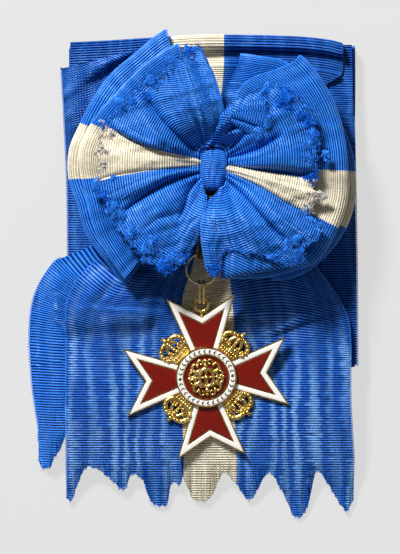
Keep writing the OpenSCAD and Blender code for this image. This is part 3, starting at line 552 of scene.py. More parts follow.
def red_enamel_material():
    """Translucent red enamel over an engraved gold ground: wavy cuts 0.75 mm apart, as coarse as
    they need to show, seen through the glass as lighter lines."""
    material, tree = new_material("red_enamel_over_engraving")
    place = add(tree, "UVMap", uv_map="ribbon").outputs["UV"]
    parts = add(tree, "SeparateXYZ", {0: place})
    swing = add(tree, "Math", {0: parts.outputs["X"], 1: TURN / 2.2}, operation="MULTIPLY").outputs[0]
    sway = add(tree, "Math", {0: swing}, operation="SINE").outputs[0]
    shift = add(tree, "Math", {0: sway, 1: 0.16}, operation="MULTIPLY").outputs[0]
    bent = add(tree, "Math", {0: parts.outputs["Y"], 1: shift}, operation="ADD").outputs[0]
    cut = add(tree, "Math", {0: bent, 1: TURN / 0.75}, operation="MULTIPLY").outputs[0]
    line = add(tree, "Math", {0: cut}, operation="SINE").outputs[0]
    share = add(tree, "MapRange", {"Value": line, "From Min": -0.6, "From Max": 1.0}).outputs[0]
    cloud = add(tree, "TexNoise", {"Vector": place, "Scale": 0.35, "Detail": 2.0}).outputs[0]
    colour = add(tree, "Mix", {0: share, 6: linear("#4a0500"), 7: linear("#b02205")},
        data_type="RGBA").outputs[2]
    colour = add(tree, "Mix", {0: cloud, 6: colour, 7: linear("#6a0a01")}, data_type="RGBA").outputs[2]
    rough = add(tree, "MapRange", {"Value": cloud, "To Min": 0.18, "To Max": 0.3})
    bump = add(tree, "Bump", {"Height": line, "Strength": 0.3, "Distance": 0.00006})
    shader = add(tree, "BsdfPrincipled", {"Base Color": colour, "Roughness": rough.outputs[0],
        "Specular IOR Level": 0.25, "Coat Weight": 0.8, "Coat Roughness": 0.04, "Normal": bump.outputs[0]})
    add(tree, "OutputMaterial", {"Surface": shader.outputs[0]})
    return material


def tape_material():
    """Plain woven tape of the small loop, dun with age."""
    material, tree = new_material("woven_tape")
    place = add(tree, "UVMap", uv_map="ribbon").outputs["UV"]
    weave = add(tree, "TexBrick", {"Vector": place, "Color1": linear("#6e6044"), "Color2": linear("#5c4e34"),
        "Mortar": linear("#3a301e"), "Scale": 1.0, "Brick Width": 0.5, "Row Height": 0.25,
        "Mortar Size": 0.03})
    cloud = add(tree, "TexNoise", {"Vector": place, "Scale": 1.5}).outputs[0]
    rough = add(tree, "MapRange", {"Value": cloud, "To Min": 0.6, "To Max": 0.85})
    bump = add(tree, "Bump", {"Height": weave.outputs["Fac"], "Strength": 0.4, "Distance": 0.0001},
        invert=True)
    shader = add(tree, "BsdfPrincipled", {"Base Color": weave.outputs[0], "Roughness": rough.outputs[0],
        "Normal": bump.outputs[0]})
    add(tree, "OutputMaterial", {"Surface": shader.outputs[0]})
    return material


def paper_material():
    """Matt pale card under the piece."""
    material, tree = new_material("pale_card")
    place = add(tree, "TexCoord").outputs["Object"]
    cloud = add(tree, "TexNoise", {"Vector": place, "Scale": 900.0, "Detail": 2.0}).outputs[0]
    colour = add(tree, "Mix", {0: cloud, 6: linear("#565656"), 7: linear("#5a5a5a")},
        data_type="RGBA").outputs[2]
    shader = add(tree, "BsdfPrincipled", {"Base Color": colour, "Emission Color": linear("#e4e4e4"),
        "Emission Strength": 0.84, "Roughness": 0.9, "Specular IOR Level": 0.1})
    add(tree, "OutputMaterial", {"Surface": shader.outputs[0]})
    return material


# Each silk's colours are groove, crest and figure: the darker groove and the lighter crest are painted shade
# and painted highlight, the lighter figure a painted sheen
IVORIES = ("#a89e84", "#e6dec8", "#f0e9d6")
moire_silk = ribbon_material("moire_silk", ("#000e58", "#2a72d6", "#8cc6ff"), IVORIES, 0.56, 0.42,
    shaded_head=62)
bow_silk = ribbon_material("bow_silk", ("#000858", "#2c84ee", "#66b0fa"), IVORIES, 0.12, 0.4)
# The folded sash has the same silk in darker colours, painted shade
packed_silk_darkened = ribbon_material("packed_silk_darkened", ("#000a44", "#185ebc", "#4688d8"), IVORIES, 0.3, 0.43)
ravelled = ravelled_material()
# Gold of the ring and link, lighter than the cast gold to make up for the bow's shadow on them: painted light
gilt = gilt_material("polished_lightened_gilt", "#eec670", "#fff4c8", 0.24)
cast_gilt = gilt_material("cast_gilt", "#c4993e", "#ffe494", 0.3)
worn_gold = gilt_material("worn_gold_marks", "#3c2f1d", "#6e5732", 0.5)
white_enamel = white_enamel_material()
red_enamel = red_enamel_material()
tape = tape_material()


# Ribbon, from the back to the front
def fold_pack():
    """The sash laid to and fro in five plies, each fold round."""
    radius = PLY_PITCH / 2
    fold_r = (PLY_PITCH + RIBBON_T) / 2
    low = -PACK_BOTTOM + fold_r
    high = PACK_TOP - fold_r
    line = []
    for ply in range(PACK_PLIES):
        z = RIBBON_T / 2 + ply * PLY_PITCH
        ys = steps((high, low, 4))[::-1] if ply % 2 == 0 else steps((low, high, 4))[::-1]
        line += [(y, z) for y in ys]
        if ply < PACK_PLIES - 1:
            end = ys[-1]
            side = 1 if end > 0 else -1
            for turn in np.linspace(-math.pi / 2, math.pi / 2, 9)[1:-1]:
                line.append((end + side * radius * math.cos(turn), z + radius + radius * math.sin(turn)))
    line = np.array(line)
    lengths = run_lengths(line)
    across = steps((0, 3, 1), (3, 103, 4), (103, 106, 1))
    x = PACK_X - RIBBON_W / 2 + across
    grid = np.zeros((len(line), len(across), 3))
    grid[..., 0] = x[None, :] + 0.25 * waver(lengths, 160, 5)[:, None]
    grid[..., 1] = line[:, :1]
    grid[..., 2] = line[:, 1:]
    u, v = np.meshgrid(across, lengths)
    sash = cloth("folded_sash", grid, u, v, packed_silk_darkened, up=slice(-20, None), ribs=0.0, above=0.42,
        below=0.42, back_step=1)
    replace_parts(sash, "sash_pack")
    return sash


def lay_second_ply():
    """Upper layer of the folded sash, its top edge folded on the slant."""
    share_down = steps((0, 1, RIB / 4 / 118))
    u = steps((0, 0.02, 0.005), (0.02, 0.4, 0.02), (0.4, 0.85, 0.09), (0.85, 0.98, 0.02), (0.98, 1, 0.005))
    uu, tt = np.meshgrid(u, share_down)
    top = smooth(SECOND_TOP, uu, 1)
    y = mix(-33.5, top, tt)
    reach_y = -33.5 + tt * (76.4 + 33.5)
    x = mix(smooth(SECOND_ROWS, reach_y, 1), smooth(SECOND_ROWS, reach_y, 2), uu)
    z = SECOND_Z + 0.12 * wander(x, y, 45, 21)
    grid = np.stack([x, y, z], axis=-1)
    from_edge = uu * RIBBON_W
    slant = 0.8 * ease((y - 22) / 45) * 30 * (1 - np.exp(-from_edge / 30))
    along = y + 33.5 + slant
    # Its folded top edge stands over the rolled layer, with a deep hollow between it and the bow
    left = ease((-4 - x) / 9)
    grid[..., 2] += 2.1 * ease((y - 44) / 14) * left
    reach_x = x + 39
    from_hollow = -0.542 * reach_x + 0.84 * (y - 70.5)
    edge_far = -0.542 * reach_x + 0.84 * (top - 70.5)
    lower = 1 - 0.45 * ease((from_hollow / np.maximum(edge_far, 1) - 0.6) / 0.4)
    ridge = ease((from_hollow - 0.4) / 2.4) * lower
    grid[..., 2] += 3.0 * ridge * ease((x + 44) / 9) * left
    grid[..., 2] += 0.35 * waver(from_hollow + 3, 9, 23) * ease((y - 50) / 12) * left
    ply = cloth("second_ply", grid, uu * RIBBON_W, along, packed_silk_darkened)
    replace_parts(ply, "sash_second_ply")
    return ply


def curve_rows(table):
    """Many places along a section table, smooth between its rows."""
    rows = np.array(table, float)
    k = np.linspace(0, len(rows) - 1, 800)
    indexed = np.column_stack([np.arange(len(rows)), rows])
    return np.column_stack([smooth(indexed, k, c + 1) for c in range(rows.shape[1])])


def roll_top_ply():
    """Layer that rolls over the top edge and is drawn in, on the slant, to the knot."""
    fine = curve_rows(ROLL_SECTION)
    u = steps((0, 1, 0.014))
    knot_half = 8

    def place(section, uu):
        x = smooth(ROLL_ROWS, uu, 1)
        y = smooth(ROLL_ROWS, uu, 2)
        knot_x = KNOT_X + (uu - 0.5) * 2 * knot_half
        px = mix(x, knot_x, section[..., 2])
        py = mix(y - section[..., 0], KNOT_Y + 3, section[..., 2])
        return np.stack([px, py, GATHERED_Z + section[..., 1]], axis=-1)

    mid = place(fine, np.full(len(fine), 0.75))
    lengths = run_lengths(mid)
    marks = steps((0, 7, 1.0), (7, 44, RIB / 4), (44, lengths[-1], 1.0))
    section = np.column_stack([np.interp(marks, lengths, fine[:, c]) for c in range(3)])
    uu, ll = np.meshgrid(u, marks)
    full = np.repeat(section[:, None, :], len(u), axis=1)
    grid = place(full, uu)
    # Flatter on the left, under the slanted fold; on the right a fuller roll over a deep hollow
    upper = ll > 9.4
    roll = np.interp(full[..., 0], [0, 0.7, 2.5, 4.1, 5.3, 7], [1.6, 2.9, 3.5, 3.1, 0.1, -0.1])
    roll = roll * (1 + 0.4 * np.exp(-((uu - 0.5) / 0.12) ** 2))
    roll = np.where(full[..., 2] > 0.02, full[..., 1], roll)
    fuller = mix(full[..., 1], np.minimum(roll, 5), ease((uu - 0.4) / 0.08))
    grid[..., 2] = np.where(upper, GATHERED_Z + fuller, grid[..., 2])
    grid[..., 2] = mix(grid[..., 2], GATHERED_Z + 0.45 * full[..., 1] - 0.2, ease((0.42 - uu) / 0.12))
    # Between the loops of the bow it slopes down from the hollow towards the knot
    gap = np.exp(-((grid[..., 0] - 6) / 11) ** 4)
    grid[..., 2] += 3 * gap * ease((grid[..., 1] - 54) / 20) * ease((81 - grid[..., 1]) / 3) * upper
    # Soft pleats that fan out from the knot, deeper near it
    drawn = ease((full[..., 2] - 0.02) / 0.4)
    tight = ease((full[..., 2] - 0.2) / 0.3) * (1 - 0.7 * ease((full[..., 2] - 0.7) / 0.3))
    pleat = (1 + np.sin(TURN * uu * 7 + 0.8)) * 0.3 * drawn + (1 + np.sin(TURN * uu * 17)) * 0.75 * tight
    grid[..., 2] += pleat + 0.15 * waver(uu * 106, 18, 31) * drawn
    ply = cloth("rolled_ply", grid, uu * RIBBON_W, ll, packed_silk_darkened, up=slice(-60, None))
    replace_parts(ply, "sash_gathered_ply")
    return ply


def tail_height(x, y, top, rest):
    down = ease((-50 - y) / 41)
    side = ease((-50.2 - x) / 7.6)
    return mix(top, rest, 1 - (1 - down) * (1 - side))


def folds(x, y, ridges, drops):
    """Height of ridges and hollows along lines, and of places that lie higher beyond a line."""
    high = np.zeros_like(x)
    for x0, y0, x1, y1, height, above, below in ridges:
        long = math.hypot(x1 - x0, y1 - y0)
        run = ((x - x0) * (x1 - x0) + (y - y0) * (y1 - y0)) / long
        d = ((y - y0) * (x1 - x0) - (x - x0) * (y1 - y0)) / long
        if x1 < x0:
            d = -d
        past = np.maximum(np.maximum(-run, run - long), 0)
        soft = np.where(d > 0, above, below)
        high += height * np.exp(-(np.abs(d) / soft) ** 1.5 - (past / 2.5) ** 2)
    for x0, y0, x1, y1, height, takes, start, end in drops:
        long = math.hypot(x1 - x0, y1 - y0)
        d = ((y - y0) * (x1 - x0) - (x - x0) * (y1 - y0)) / long
        span = ease((x - start) / 5) * ease((end - x) / 7)
        high += height * ease(d / takes + 1) * span * ease((4 - y) / 7)
    return high


def hang_tail(name, node, rows, ends, top, rest, u, fewer, dense_from, seed, flute, material, dip=None,
        ridges=(), drops=()):
    """A tail of the sash, its ribs slanting at the head, lower edge torn into tongues."""
    table = np.array(rows, float)
    last = len(table) - 1
    k = np.linspace(0, last, 600)
    mid = np.column_stack([(smooth(rows, k, 1) + smooth(rows, k, 3)) / 2,
        (smooth(rows, k, 2) + smooth(rows, k, 4)) / 2])
    lengths = run_lengths(mid)
    marks = steps((0, dense_from, 1.2), (dense_from, lengths[-1], RIB / 4))
    kk = np.interp(marks, lengths, k)
    uu, kg = np.meshgrid(u, kk)
    x = mix(smooth(rows, kg, 1), smooth(rows, kg, 3), uu)
    y = mix(smooth(rows, kg, 2), smooth(rows, kg, 4), uu)
    if dip:
        y = y - smooth(dip, uu, 1) * ease((7 - kg) / 4)
    along = np.repeat(marks[:, None], len(u), axis=1)
    # Torn edge: small bites on top of the tongues
    edge = smooth(ends, u, 1) + 0.4 * waver(u * 106, 2.6, seed) + 0.45 * waver(u * 106, 1.2, seed + 1)
    edge = edge + 0.4 * np.abs(waver(u * 106, 0.8, seed + 5))
    deepest = np.abs(edge.min() - y[-1].min())
    share = steps((0, 1, RIB / 4 / deepest))[1:]
    tail_x = np.repeat(x[-1:], len(share), axis=0)
    tail_y = y[-1:] + (edge[None, :] - y[-1:]) * share[:, None]
    tail_along = along[-1:] + (y[-1:] - tail_y)
    x = np.concatenate([x, tail_x])
    y = np.concatenate([y, tail_y])
    along = np.concatenate([along, tail_along])
    uu = np.repeat(u[None, :], len(x), axis=0)
    wave = flute * (1 - np.cos(TURN * 4 * uu)) / 2 * ease((y + 70) / 30)
    wave = wave + 0.25 * flute * waver(uu * 106, 15, seed + 2) * ease((8 - y) / 20)
    curl = 0.5 * np.maximum(waver(uu * 106, 9, seed + 3), 0) * ease((-66 - y) / 14)
    z = tail_height(x, y, top, rest) + wave + curl + folds(x, y, ridges, drops)
    grid = np.stack([x, y, z], axis=-1)
    tail = cloth(name, grid, uu * RIBBON_W, along, material, fine_rows=len(share) + 1, fewer=fewer)
    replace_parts(tail, node)
    return tail


# Bow
def way_out(table, u, from_x, from_y):
    """Way from a place on the knot to the reach of a share of the width, and its length."""
    turn = np.radians(smooth(table, u, 1))
    reach = smooth(table, u, 2)
    dx = KNOT_X + reach * np.cos(turn) - from_x
    dy = KNOT_Y + reach * np.sin(turn) - from_y
    return dx, dy, np.hypot(dx, dy)


def lobe_plan(side, table, u, s):
    """Places of a loop, seen from above: straight out from the knot, its middle bulging aside."""
    ax = KNOT_X + side * (KNOT_W / 2 + LOBE_CLEAR)
    ay = KNOT_Y + (0.5 - u) * GATHER_H
    dx, dy, length = way_out(table, u, ax, ay)
    bulge = smooth(table, u, 3) * np.sin(math.pi * s) ** 2
    return ax + dx * s - bulge * dy / length, ay + dy * s + bulge * dx / length


def follow(lines, top):
    """Where shares of a torn end leave the knot, and how far their lines sway from the straight, as
    parts of one, two and three half waves: the rows near the top, then rows fitted to the lines."""
    on_knot, near_top = top
    roots = [[share, *from_photo(*pixel)] for share, *pixel in on_knot]
    sway = [*near_top]
    far = np.linspace(0.02, 0.98, 60)
    waves = np.sin(math.pi * np.outer(far, np.arange(1, 5)))
    for share, *line in lines:
        places = np.array([from_photo(*pixel) for pixel in line])
        way = places[-1] - places[0]
        along = (places - places[0]) @ way / (way @ way)
        aside = (places - places[0]) @ np.array([-way[1], way[0]]) / math.hypot(*way)
        order = along.argsort()
        parts = np.linalg.lstsq(waves, np.interp(far, along[order], aside[order]), rcond=None)[0]
        roots.append([share, *places[0]])
        sway.append([share, *parts[:3]])
    return roots, sway


def end_plan(table, roots, sway, u, s):
    """Places of a torn end, seen from above, along lines that were read in the photo."""
    ax = smooth(roots, u, 1)
    ay = smooth(roots, u, 2)
    dx, dy, length = way_out(table, u, ax, ay)
    t = np.clip(s, 0, 1)
    aside = sum(smooth(sway, u, k) * np.sin(k * math.pi * t) for k in (1, 2, 3))
    return ax + dx * s - aside * dy / length, ay + dy * s + aside * dx / length, length


def rise(s):
    return ease((s - 0.04) / 0.5)


def swell(s):
    return ease((s - 0.04) / 0.35) * (1 - 0.4 * ease((s - 0.6) / 0.4))


def stand_off(side, u, s):
    """How far the lower right of the bow stands away from the tails."""
    return 2.6 * (side > 0) * ease((u - 0.55) / 0.25) * rise(s)


def gathers(u, s, side):
    """Height of the gathers at the knot, the same for each layer, so that the layers nest."""
    bend = u + 0.012 * np.sin(TURN * u * 3 + side) + 0.006 * np.sin(TURN * u * 7)
    depth = ease(s / 0.1) * (0.95 * ease((0.5 - s) / 0.42) + 0.25 * ease((0.8 - s) / 0.5))
    return depth * (np.sin(TURN * bend * 13) + 0.35 * np.sin(TURN * bend * 29 + 1))


def sew_loop(name, side, table, base, spread, dense_in, seed):
    """One loop of the bow: out from the knot on the lower layer, round, and back on the upper."""
    reach = 50.0
    flat = 0.92 * reach
    bend = 10.2
    total = 2 * flat + bend
    dense_end = flat + bend + dense_in
    marks = steps((0, flat - 2, 1.4), (flat - 2, dense_end, RIB / 4), (dense_end, total, 1.2))
    turn = np.clip((marks - flat) / bend, 0, 1) * math.pi
    s_row = np.where(marks < flat, marks / reach,
        np.where(marks > flat + bend, (total - marks) / reach, 0.92 + 0.08 * np.sin(turn)))
    w_row = np.where(marks < flat, 0, np.where(marks > flat + bend, 1, 0.5 - 0.5 * np.cos(turn)))
    u = steps((0, 0.02, 0.005), (0.02, 0.98, 0.012), (0.98, 1, 0.005))
    uu, s = np.meshgrid(u, s_row)
    w = np.repeat(w_row[:, None], len(u), axis=1)
    along = np.repeat(marks[:, None], len(u), axis=1)
    x, y = lobe_plan(side, table, uu, s)
    opening = KNOT_PITCH + (LOOP_GAP - KNOT_PITCH) * rise(s)
    pleat = (smooth(table, uu, 4) - 0.5) * 2 * LOOP_PLEAT * swell(s) * w
    small = 0.22 * waver(uu * 106, 9, seed) * ease((s - 0.1) / 0.4) * w
    z = base + spread * rise(s) + opening * w + pleat + small + 1.65 * gathers(uu, s, side)
    z = z + stand_off(side, uu, s)
    grid = np.stack([x, y, z], axis=-1)
    return cloth(name, grid, uu * RIBBON_W, along, bow_silk, up=slice(-30, None))


# Creases of the torn ends: places on the way out with their share of the width, depth, how
# softly the cloth climbs away on the side of the lower and of the higher shares, and how much
# higher the fold on each side stands
LEFT_CREASES = [
    ([[0.1, 0.13], [0.5, 0.14]], 0.9, 1.2, 1.2, 0.6, 0.6),
    ([[0.12, 0.275], [0.4, 0.27], [0.85, 0.265]], 2.9, 1.0, 2.2, 1.8, 0.6),
    ([[0.03, 0.4], [0.42, 0.4]], 1.5, 0.4, 0.6, 0.3, 0),
    ([[0.42, 0.4], [0.9, 0.4]], 2.8, 0.45, 0.7, 1.2, 0),
    ([[0.03, 0.57], [0.45, 0.577], [0.95, 0.58]], 2.4, 0.55, 0.5, 0, 0.7),
    ([[0.04, 0.64], [0.3, 0.65]], 1.2, 0.8, 0.8, 0.2, 0.2),
    ([[0.04, 0.72], [0.5, 0.72], [0.88, 0.72]], 3.6, 0.7, 1.1, 0.9, 0.9),
    ([[0.06, 0.83], [0.2, 0.85], [0.34, 0.875], [0.44, 0.885]], 2.8, 0.9, 0.7, 0.6, 0.3),
    ([[0.36, 0.885], [0.62, 0.83], [0.84, 0.82]], 1.5, 1.3, 1.3, 0.3, 0.3),
    ([[0.42, 0.95], [0.8, 0.93]], 1.0, 1.0, 1.0, 0.2, 0.2)]
RIGHT_CREASES = [
    ([[0.32, 0.07], [0.62, 0.085]], 4.5, 1.4, 1.2, 0, 0),
    ([[0.1, 0.15], [0.5, 0.15], [0.75, 0.16]], 1.6, 1.6, 0.9, 0.8, 0.5),
    ([[0.04, 0.3], [0.35, 0.3], [0.58, 0.29]], 3.4, 1.7, 0.45, 0.6, 1.5),
    ([[0.02, 0.394], [0.5, 0.394], [0.95, 0.396]], 4.0, 0.5, 0.75, 1.6, 0),
    ([[0.03, 0.588], [0.4, 0.59], [0.95, 0.597]], 2.6, 0.7, 0.4, 0, 0.5),
    ([[0.04, 0.66], [0.3, 0.67]], 1.0, 0.8, 0.8, 0.2, 0.2),
    ([[0.04, 0.765], [0.3, 0.77], [0.8, 0.775]], 3.6, 0.8, 1.2, 1.1, 0.9),
    ([[0.05, 0.86], [0.22, 0.88], [0.42, 0.89]], 2.6, 0.7, 0.9, 0.5, 0.3),
    ([[0.45, 0.91], [0.85, 0.895]], 1.0, 1.2, 1.2, 0.2, 0.2)]


def creased(u, s, width, creases):
    """Height that the creases give a puffed-up end. width is the fan's width there, in mm."""
    depth = np.zeros_like(s)
    high = np.zeros_like(s)
    wider = 0.55 + 0.9 * np.clip(s, 0, 1)
    for path, deep, low_side, high_side, low_up, high_up in creases:
        path = np.array(path)
        d = (u - np.interp(s, path[:, 0], path[:, 1])) * width
        soft = np.where(d < 0, low_side, high_side) * wider
        run = ease((s - path[0, 0] + 0.06) / 0.1) * ease((path[-1, 0] + 0.1 - s) / 0.16)
        depth = np.maximum(depth, deep * run * np.exp(-(np.abs(d) / soft) ** 1.3))
        stand = np.where(d < 0, low_up, high_up) * run * ease((s - 0.02) / 0.2)
        high = np.maximum(high, stand * np.exp(-np.abs(d) / 5.5))
    return high - depth


def close_to(creases, askew, step=0.0032, half=0.02):
    """Places across the width, denser at the creases and where the ribs lie askew."""
    marks = [steps((0, 0.02, 0.005), (0.02, 0.98, 0.0105), (0.98, 1, 0.005))]
    if askew > 0:
        marks.append(steps((0, askew, 0.0036)))
    for path, *_ in creases:
        ats = [p[1] for p in path]
        marks.append(np.arange(min(ats) - half, max(ats) + half, step * (1 + 12 * (max(ats) - min(ats)))))
    u = np.sort(np.concatenate(marks))
    u = u[(u >= 0) & (u <= 1)]
    return u[np.concatenate([[True], np.diff(u) > 0.0018])]


def spread_end(name, side, table, lines, top, creases, seed, askew=0.0):
    """A torn end of the bow's top ribbon, drawn in at the knot and fanned over the loops. Its ribs
    lie askew up to the share askew of its width."""
    u = close_to(creases, askew)
    edge = 1 + (0.9 * waver(u * 106, 7, seed) + 0.7 * waver(u * 106, 2.6, seed + 1)) / 42
    s_row = steps((-0.08, 1, RIB / 4 / 38))
    uu, s = np.meshgrid(u, s_row)
    s = np.where(s > 0, s * edge[None, :], s)
    x, y, length = end_plan(table, *follow(lines, top), uu, s)
    width = 11 + 98 * np.maximum(s, 0)
    along = s * length + 0.6 * np.maximum(askew - uu, 0) * width * ease((s - 0.1) / 0.4)
    puff = 2.3 * ease((s - 0.02) / 0.3) + 0.9 * ease((0.14 - s) / 0.14)
    z = BOW_Z + 4 * KNOT_PITCH + 2.8 * ease((s + 0.03) / 0.09) + 6.4 * rise(s)
    z = z + 1.5 * smooth(table, uu, 3) * swell(s) + puff
    near_edge = ease((s - 0.7) / 0.3)
    droop = (0.9 if side > 0 else 0.8) * near_edge
    z = z + creased(uu, s, width, creases) * (1 - 0.5 * near_edge) - droop + stand_off(side, uu, s)
    z = z + 0.3 * gathers(uu, s, side) + 0.3 * waver(uu * 106, 12, seed + 2) * ease((s - 0.2) / 0.4)
    z = z + 0.5 * wander(x, y, 8, seed + 3) * ease((s - 0.2) / 0.4)
    # The left end's edge lies over the right end's, above and below the knot
    z = z - 1.6 * (side > 0) * np.exp(-uu / 0.05) * ease(s / 0.1) * ease((0.8 - s) / 0.3)
    z = z - side * 0.6 * (np.exp(-(1 - uu) / 0.03) + np.exp(-uu / 0.03)) * ease(s / 0.1)
    grid = np.stack([x, y, z], axis=-1)
    return cloth(name, grid, uu * RIBBON_W, along, bow_silk)


def tie_knot():
    """Band round the middle of the bow, a strip folded so that both its edges are round."""
    half_y = GATHER_H / 2 + 1.4 + RIBBON_T / 2
    half_z = 2 * KNOT_PITCH + RIBBON_T / 2 + 0.3 + 0.8 + RIBBON_T / 2
    turn = np.linspace(0, TURN, 240)[:-1]
    ring_y = half_y * np.sign(np.cos(turn)) * np.sqrt(np.abs(np.cos(turn)))
    ring_z = half_z * np.sign(np.sin(turn)) * np.sqrt(np.abs(np.sin(turn)))
    ring = np.column_stack([ring_y, ring_z])
    ring = np.concatenate([ring, ring[:1]])
    lengths = run_lengths(ring)
    marks = steps((0, lengths[-1], lengths[-1] / 240))
    ys = np.interp(marks, lengths, ring[:, 0])
    zs = np.interp(marks, lengths, ring[:, 1])
    w = np.linspace(-1, 1, 25)
    ww, mm = np.meshgrid(w, marks)
    yy = np.repeat(ys[:, None], len(w), axis=1)
    zz = np.repeat(zs[:, None], len(w), axis=1)
    tuck = 1 - 0.05 * np.abs(ww) ** 6
    # Drawn in more at its foot than at its head, and its edges roll down on to the ends
    waist = 1.02 - 0.34 * ease((-yy - 1) / 6) - 0.06 * ease((yy - 5) / 2)
    x = KNOT_X - 0.1 + ww * KNOT_W / 2 * waist * 0.98 + 0.2 * np.sin(yy * 0.5)
    creases = 0.16 * np.sin(ww * 6 + 0.5 * yy) + 0.12 * np.sin(ww * 11 - 0.35 * yy)
    y = KNOT_Y + yy * tuck
    z = KNOT_Z + zz * (1 - 0.3 * np.abs(ww) ** 2.6) + np.where(zz > 0, creases + 0.48 * zz, 0)
    grid = np.stack([x, y, z], axis=-1)
    across = 8 + (ww + 1) * KNOT_W / 2
    knot = cloth("knot", grid, across, mm * 1.2 + 0.45 * (1 - ww ** 2), bow_silk, up=slice(40, 80), ribs=0.6,
        above=0.42, below=0.3)
    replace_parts(knot, "knot_band")
    return knot


# Lines of the turned corner of the right end, from its rolled lower edge to its top edge: share
# of the way up, places from the left, height
FLAP_LINES = [[0, [[10.3, 57.9], [14.7, 55.1], [19.5, 52.5], [24.4, 49]], -1.9],
    [0.12, [[10.4, 58.1], [15.1, 55.8], [20, 53.3], [24.9, 50.2]], 0.1],
    [0.3, [[10.6, 58.4], [15.6, 56.8], [20.5, 54.7], [25.4, 52.4]], -0.1],
    [0.37, [[10.6, 58.5], [15.9, 57.2], [20.9, 55.4], [25.9, 53.2]], -1.3],
    [0.42, [[10.6, 58.6], [16.2, 57.3], [21.6, 55.6], [27.2, 53.5]], 0.9],
    [0.6, [[10.6, 58.8], [16, 58.8], [21.4, 58.2], [26.9, 57]], 1.5],
    [1, [[10.6, 59.6], [15.9, 62], [21, 63.7], [26.2, 64.5]], 0.6]]


def turn_flap():
    """Small corner of the right end that is turned over to the front, its ribs upright."""
    a, b = np.meshgrid(steps((0, 1, 0.016)), steps((0, 1, RIB / 4 / 16)))
    thirds = np.arange(4) / 3
    lines = []
    for _, line, _ in FLAP_LINES:
        rows = [[t, px, py] for t, (px, py) in zip(thirds, line)]
        lines.append(np.stack([smooth(rows, b[:, 0], 1), smooth(rows, b[:, 0], 2)], axis=-1))
    lines = np.array(lines)
    at = np.array([row[0] for row in FLAP_LINES])
    i = np.clip(np.searchsorted(at, a[0], "right") - 1, 0, len(at) - 2)
    t = ((a[0] - at[i]) / (at[i + 1] - at[i]))[:, None, None]
    place = mix(lines[i], lines[i + 1], t).transpose(1, 0, 2)
    place[..., 0] += (0.6 * waver(a * 15, 3.1, 92) + 0.3 * waver(a * 15, 1.2, 93)) * b
    z = 29.2 + 1.6 * b + smooth([[r[0], r[2]] for r in FLAP_LINES], a, 1) - 1.6 * (1 - b) ** 3
    grid = np.concatenate([place, z[..., None]], axis=-1)
    flap = cloth("turned_flap", grid, 2 + a * 15, b * 16 + 0.6 * a, bow_silk, below=0.2)
    CLOTH_ENDS["turned_flap"] = (grid, 2 + a * 15, b * 16)
    return flap


# Upper and lower line of the lower edge of the front right loop where it is turned forward
TURNED_TOP = [[0, 10.9, 9.2], [0.3, 18.6, 8.9], [0.6, 26.2, 6.4], [0.85, 34.6, 4.3], [1, 40, 4.1]]
TURNED_LOW = [[0, 10.2, -1.4], [0.3, 17.3, 0], [0.6, 25.6, 1.5], [0.85, 34, 3.1], [1, 40, 3.5]]


def turn_loop_edge():
    """Lower edge of the front right loop, turned forward under the torn end."""
    u, t = np.meshgrid(steps((0, 1, 0.015)), steps((0, 1, RIB / 4 / 9)))
    top = np.stack([smooth(TURNED_TOP, u, 1), smooth(TURNED_TOP, u, 2)], axis=-1)
    low = np.stack([smooth(TURNED_LOW, u, 1), smooth(TURNED_LOW, u, 2)], axis=-1)
    place = mix(low, top, t[..., None])
    around = CLOTH_ENDS["front_loop_right"][0].reshape(-1, 3)
    z = np.zeros(u.shape)
    for i in range(u.shape[0]):
        for j in range(u.shape[1]):
            near = np.hypot(around[:, 0] - place[i, j, 0], around[:, 1] - place[i, j, 1])
            z[i, j] = around[near < near.min() + 1.5][:, 2].max()
    rows = np.linspace(0, 1, u.shape[0])[:, None]
    level = np.percentile(z, 60, axis=0)[None, :]
    z = level + 3.3 - 1.6 * (1 - np.sqrt(np.clip(1 - (1 - rows) ** 4, 0, 1))) + 0.25 * np.sin(u * 9)
    grid = np.concatenate([place, z[..., None]], axis=-1)
    slanted = (place[..., 1] + 0.45 * place[..., 0]) / 1.1
    edge = cloth("turned_loop_edge", grid, 6 + u * 30, slanted, bow_silk, below=0.2)
    CLOTH_ENDS["turned_loop_edge"] = (grid, 6 + u * 30, place[..., 1])
    return edge


# Loose threads and selvedges
def strands(name, paths, width, across, along, material):
    """Threads as thin three-sided tubes. paths is threads by points by three, in mm."""
    count, links = paths.shape[:2]
    run = unit(np.gradient(paths, axis=1))
    side = unit(np.cross(run, np.array([0.13, 0.07, 1.0])))
    top = np.cross(side, run)
    taper = np.linspace(1, 0.45, links)[None, :, None]
    rings = []
    for k in range(3):
        turn = TURN * k / 3 + 0.5
        rings.append(paths + (side * math.cos(turn) + top * math.sin(turn)) * width * taper)
    points = np.stack(rings, axis=2).reshape(-1, 3)
    numbers = np.arange(count * links * 3).reshape(count, links, 3)
    quads = []
    for k in range(3):
        n = (k + 1) % 3
        quads.append(np.stack([numbers[:, :-1, k], numbers[:, :-1, n], numbers[:, 1:, n],
            numbers[:, 1:, k]], axis=-1).reshape(-1, 4))
    caps = np.concatenate([numbers[:, 0, ::-1], numbers[:, -1]])
    flat_uv = np.repeat(np.column_stack([across, along]), links * 3, axis=0)
    return piece_from(name, points, [np.concatenate(quads), caps], material, flat_uv, sharp=180)


def along_edge(key, at):
    """Places on a torn edge at these distances along it, the way out of the cloth, along the edge and
    up from the cloth there, and the ribbon's across and along."""
    grid, across, along = CLOTH_ENDS[key]
    edge = grid[-1]
    out = unit(edge - grid[-9])
    run = unit(np.gradient(edge, axis=0))
    up = unit(np.cross(run, out))
    up = up * np.where(up[:, 2:] > 0, 1, -1)
    length = run_lengths(edge)
    i = np.clip(np.searchsorted(length, at), 1, len(edge) - 1)
    t = ((at - length[i - 1]) / np.maximum(length[i] - length[i - 1], 1e-6))[:, None]
    return mix(edge[i - 1], edge[i], t), out[i], run[i], up[i], across[-1][i], along[-1][i]


